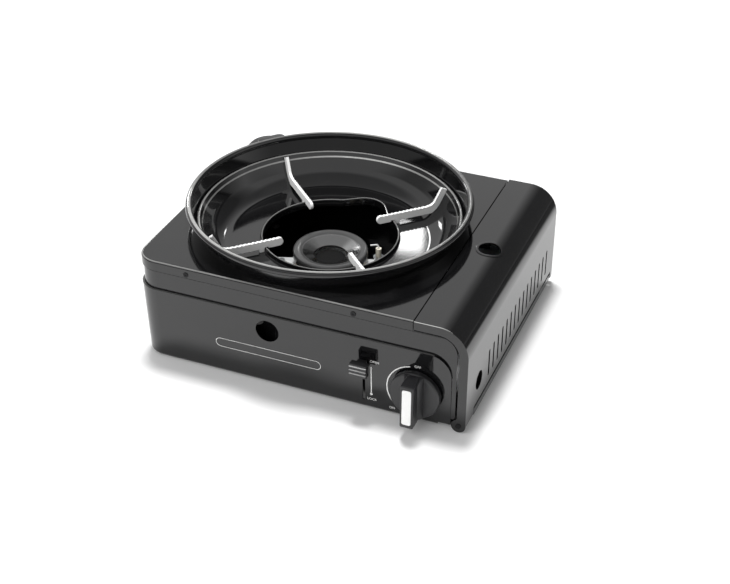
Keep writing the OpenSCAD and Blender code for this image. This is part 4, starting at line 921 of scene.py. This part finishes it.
# a dark strip of painted shade, finished in black rubber
def makeSkirtShadeStrip():
    band = nodes["upper_frame"]
    shadeStrip = addObject("skirtShadeStrip", band.data.copy())
    shadeStrip.matrix_world = band.matrix_world
    settle(shadeStrip)
    for height, above in ((shadeStripSet["high"], True), (shadeStripSet["low"], False)):
        editAll(shadeStrip)
        bpy.ops.mesh.bisect(plane_co=(0, 0, height * mm), plane_no=(0, 0, 1), clear_outer=above,
                            clear_inner=not above)
        leaveEdit()
    pickFaces(shadeStrip, lambda c, n: not onSkirt(c, n))
    bpy.ops.mesh.delete(type="FACE")
    mergeDoubles()
    leaveEdit()
    modify(shadeStrip, "SOLIDIFY", thickness=shadeStripSet["proud"] * mm, offset=1)
    finishPiece(shadeStrip, finishes["black_rubber"], "case")


makeSkirtShadeStrip()
print("burner capped, skirt shade strip laid")

# Finger lip: rounded bead round the finger hole, bent with the cover

lipSet = {
    "at": (142.5, 14.65, 100),
    "radius": 13.6,
    "depth": 60,
    "vertices": 72,
    "upward": 0.4,  # z of the normal
    "proud": 0.55,
    "round": (0.4, 4, 60),  # width, segments, angle
}


def makeFingerLip():
    lip = addObject("fingerLip", nodes["cartridge_cover"].data.copy())
    editAll(lip)
    mergeDoubles()
    leaveEdit()
    deselectAll()
    bpy.ops.mesh.primitive_cylinder_add(vertices=lipSet["vertices"], radius=lipSet["radius"] * mm,
                                        depth=lipSet["depth"] * mm, location=[v * mm for v in lipSet["at"]])
    cutWith(lip, bpy.context.object, "INTERSECT")
    pickFaces(lip, lambda c, n: n.z < lipSet["upward"])
    bpy.ops.mesh.delete(type="FACE")
    mergeDoubles()
    leaveEdit()
    modify(lip, "SOLIDIFY", thickness=lipSet["proud"] * mm, offset=1)
    bevelEdges(lip, *lipSet["round"])
    finishPiece(lip, finishes["black_enamel"], "cover")


makeFingerLip()

# Control knob: disc with a rounded rim, stepped base and grip bar

knobSet = {
    "centre": (122.5, 35.7),
    "back": -131.35,
    "disc": 6,
    "radius": 25,
    "vertices": 96,
    "rimWide": 3.4,
    "rimRaised": 0.15,
    "rimRound": (2.4, 5),
    "sunk": 1,
    "base": (20, 9, 48),  # width, depth, height
    "baseTaper": (0.62, 0.84),
    "baseRound": (1.2, 4),
    "grip": (13, 19, 47),
    "gripRound": (1.3, 4),
    "recess": (9.4, 39.4),
    "recessDepth": 0.85,
    "smoothAngle": 40,
}


def makeKnobDisc(x, z, front):
    middle = (x * mm, (knobSet["back"] + front) / 2 * mm, z * mm)
    deselectAll()
    bpy.ops.mesh.primitive_cylinder_add(vertices=knobSet["vertices"], radius=knobSet["radius"] * mm,
                                        depth=knobSet["disc"] * mm, location=middle,
                                        rotation=(math.pi / 2, 0, 0))
    disc = bpy.context.object
    disc.name = "knobDisc"
    settle(disc)
    pickFaces(disc, lambda c, n: n.y < forward)
    bpy.ops.mesh.inset(thickness=knobSet["rimWide"] * mm, depth=-knobSet["rimRaised"] * mm)
    leaveEdit()

    def onRim(p):
        return p.y < front + near and math.hypot(p.x - x, p.z - z) > knobSet["radius"] - near

    pickEdges(disc, lambda a, b: onRim(a) and onRim(b))
    bevelPicked(*knobSet["rimRound"])
    return disc


def addKnobBlock(name, size, x, z, front):
    wide, deep, tall = size
    block = addBlock(name, (x - wide / 2, front - deep, z - tall / 2),
                     (x + wide / 2, front + knobSet["sunk"], z + tall / 2))
    pickFaces(block, lambda c, n: n.y < forward)
    return block


def makeKnob():
    x, z = knobSet["centre"]
    front = knobSet["back"] - knobSet["disc"]
    disc = makeKnobDisc(x, z, front)
    base = addKnobBlock("knobBase", knobSet["base"], x, z, front)
    bpy.ops.transform.resize(value=(knobSet["baseTaper"][0], 1, knobSet["baseTaper"][1]))
    leaveEdit()
    bevelEdges(base, *knobSet["baseRound"])
    wide, tall = knobSet["grip"][0], knobSet["grip"][2]
    grip = addKnobBlock("knobGrip", knobSet["grip"], x, z, front)
    side = (wide - knobSet["recess"][0]) / 2
    bpy.ops.mesh.inset(thickness=side * mm, depth=0)
    bpy.ops.transform.resize(value=(1, 1, knobSet["recess"][1] / (tall - 2 * side)))
    bpy.ops.mesh.extrude_region_move(TRANSFORM_OT_translate={"value": (0, knobSet["recessDepth"] * mm, 0)})
    leaveEdit()

    def atCorner(p):
        return abs(abs(p.x - x) - wide / 2) < near and abs(abs(p.z - z) - tall / 2) < near

    pickEdges(grip, lambda a, b: atCorner(a) and atCorner(b))
    bevelPicked(*knobSet["gripRound"])
    joinPieces(disc, [base, grip])
    finishPiece(disc, finishes["black_plastic"], "knob", ["control_knob"],
                knobSet["smoothAngle"])


makeKnob()

# Lever cap: ridged block on a neck

capSet = {
    "block": ((61, -144.35, 47), (78, -137.35, 61)),
    "neck": ((65, -137.4, 48.5), (74, -131.55, 59.5)),
    "ridges": 3,
    "ridgeOut": 1,
    "soft": 0.7,
}


def makeLeverCap():
    low, high = capSet["block"]
    block = addBlock("leverCap", low, high)
    strips = 2 * capSet["ridges"] + 1
    strip = (high[2] - low[2]) / strips
    for i in range(1, strips):
        editAll(block)
        bpy.ops.mesh.bisect(plane_co=(0, 0, (low[2] + strip * i) * mm), plane_no=(0, 0, 1))
        leaveEdit()
    pickFaces(block, lambda c, n: n.y < forward and int((c.z - low[2]) / strip) % 2 == 1)
    bpy.ops.mesh.extrude_region_move(TRANSFORM_OT_translate={"value": (0, -capSet["ridgeOut"] * mm, 0)})
    leaveEdit()
    bevelEdges(block, capSet["soft"])
    neck = addBlock("leverNeck", *capSet["neck"])
    bevelEdges(neck, capSet["soft"])
    joinPieces(block, [neck])
    finishPiece(block, finishes["ridge_highlight_plastic"], "lever", ["lever_tab"])


makeLeverCap()
print("controls moulded")

# Skirt screws: low pan heads with a cross recess

screwSet = {
    "headRadius": 2.8,
    "headHeight": 0.7,
    "headRound": (0.45, 4),
    "vertices": 40,
    "cross": (2.6, 0.62, 0.5),
    "height": 106.36,
    "sides": [  # turn in degrees, places
        ((90, 0, 0), [(-113.3, -129.48), (59.2, -129.48)]),
        ((-90, 0, 0), [(-113.3, 154.78), (59.2, 154.78)]),
        ((0, -90, 0), [(-170.63, -67.35), (-170.63, 92.65)]),
    ],
}


def makeScrew():
    top = screwSet["headHeight"]
    deselectAll()
    bpy.ops.mesh.primitive_cylinder_add(vertices=screwSet["vertices"], radius=screwSet["headRadius"] * mm,
                                        depth=top * mm, location=(0, 0, top / 2 * mm))
    head = bpy.context.object
    settle(head)
    pickEdges(head, lambda a, b: min(a.z, b.z) > top - near)
    bevelPicked(*screwSet["headRound"])
    long, wide, deep = screwSet["cross"]
    for a, b in ((long, wide), (wide, long)):
        cutWith(head, addBlock("cross", (-a / 2, -b / 2, top - deep), (a / 2, b / 2, top + 1)), "DIFFERENCE")
    return head


def placeScrews():
    head = makeScrew()
    copies = []
    for turn, places in screwSet["sides"]:
        for x, y in places:
            copy = addObject("plateScrews", head.data.copy())
            copy.location = (x * mm, y * mm, screwSet["height"] * mm)
            copy.rotation_euler = [math.radians(t) for t in turn]
            settle(copy)
            copies.append(copy)
    bpy.data.objects.remove(head)
    joinPieces(copies[0], copies[1:])
    finishPiece(copies[0], finishes["black_oxide"], "case", ["plate_screws"])


placeScrews()
print("screws driven")

# White prints on the leaning front wall

printSet = {
    "wallFoot": (81.5, -130.35, 3 / 76.1),  # step height, face there, lean for each millimetre
    "proud": 0.04,
    "film": 0.05,
    "capsule": {"at": (-29.9, 37), "length": 111, "height": 10, "line": 0.4, "vertices": 64},
    "arrow": {"x": 77.0, "low": 19, "high": 50, "line": 0.9, "dot": (28, 1.3), "head": (3, 1.5)},
    "arc": {"at": (121.8, 34.2), "radius": 29, "line": 1.1, "from": 102, "to": 216, "vertices": 180},
    "words": [("OFF", 123.2, 64.1), ("ON", 98.0, 8.6), ("OPEN", 80.5, 57.6), ("LOCK", 77.7, 13.0)],
    "wordSize": 3.6,
}


def faceUp(piece):
    if piece.data.polygons[0].normal.z < 0:
        editAll(piece)
        bpy.ops.mesh.flip_normals()
        leaveEdit()


def addCircle(name, vertices, radius, fill="NOTHING", y=0):
    deselectAll()
    bpy.ops.mesh.primitive_circle_add(vertices=vertices, radius=radius * mm, fill_type=fill,
                                      location=(0, y * mm, 0))
    circle = bpy.context.object
    circle.name = name
    settle(circle)
    return circle


def layPrint(piece, x, z):  # from the flat xy plane to the wall
    settle(piece)
    modify(piece, "SOLIDIFY", thickness=printSet["film"] * mm, offset=1)
    step, face, lean = printSet["wallFoot"]
    piece.rotation_euler = (math.pi / 2 + math.atan(lean), 0, 0)
    piece.location = (x * mm, (face + lean * (step - z) - printSet["proud"]) * mm, z * mm)
    finishPiece(piece, finishes["pale_plastic"], "case")


def printCapsule():
    capsule = printSet["capsule"]
    length, height = capsule["length"], capsule["height"]
    outline = addCircle("printCapsule", capsule["vertices"], height / 2)
    for side in (-1, 1):
        pickSpots(outline, lambda p: (p.x > near) == (side > 0))
        bpy.ops.transform.translate(value=(side * (length - height) / 2 * mm, 0, 0))
        leaveEdit()
    editAll(outline)
    bpy.ops.mesh.extrude_edges_move(TRANSFORM_OT_translate={"value": (0, 0, 0)})
    bpy.ops.transform.resize(value=(1 - 2 * capsule["line"] / length, 1 - 2 * capsule["line"] / height, 1))
    turnOutwards()
    faceUp(outline)
    layPrint(outline, *capsule["at"])


def printArrow():
    arrow = printSet["arrow"]
    half = (arrow["high"] - arrow["low"]) / 2
    deselectAll()
    bpy.ops.mesh.primitive_plane_add(size=1)
    line = bpy.context.object
    line.name = "printArrow"
    line.scale = (arrow["line"] * mm, 2 * half * mm, 1)
    settle(line)
    ends = []
    for name, key, y in (("printDot", "dot", -half), ("printTip", "head", half)):
        end = addCircle(name, *arrow[key], "NGON", y)
        faceUp(end)
        ends.append(end)
    joinPieces(line, ends)
    layPrint(line, arrow["x"], arrow["low"] + half)


def printArc():
    sweep = printSet["arc"]
    outer, inner = sweep["radius"] + sweep["line"] / 2, sweep["radius"] - sweep["line"] / 2
    band = addCircle("printArc", sweep["vertices"], outer)

    def inSweep(p):
        return sweep["from"] <= math.degrees(math.atan2(p.y, p.x)) % 360 <= sweep["to"]

    pickEdges(band, lambda a, b: not (inSweep(a) and inSweep(b)))
    bpy.ops.mesh.delete(type="EDGE")
    bpy.ops.mesh.select_all(action="SELECT")
    bpy.ops.mesh.extrude_edges_move(TRANSFORM_OT_translate={"value": (0, 0, 0)})
    bpy.ops.transform.resize(value=(inner / outer, inner / outer, 1), center_override=(0, 0, 0))
    leaveEdit()
    faceUp(band)
    layPrint(band, *sweep["at"])


def printWords():
    for word, x, z in printSet["words"]:
        deselectAll()
        bpy.ops.object.text_add()
        text = bpy.context.object.data
        text.body = word
        text.size = printSet["wordSize"] * mm
        text.align_x = "CENTER"
        text.align_y = "CENTER"
        bpy.ops.object.convert(target="MESH")
        label = bpy.context.object
        label.name = "print" + word.capitalize()
        faceUp(label)
        layPrint(label, x, z)


printCapsule()
printArrow()
printArc()
printWords()
print("front printed")
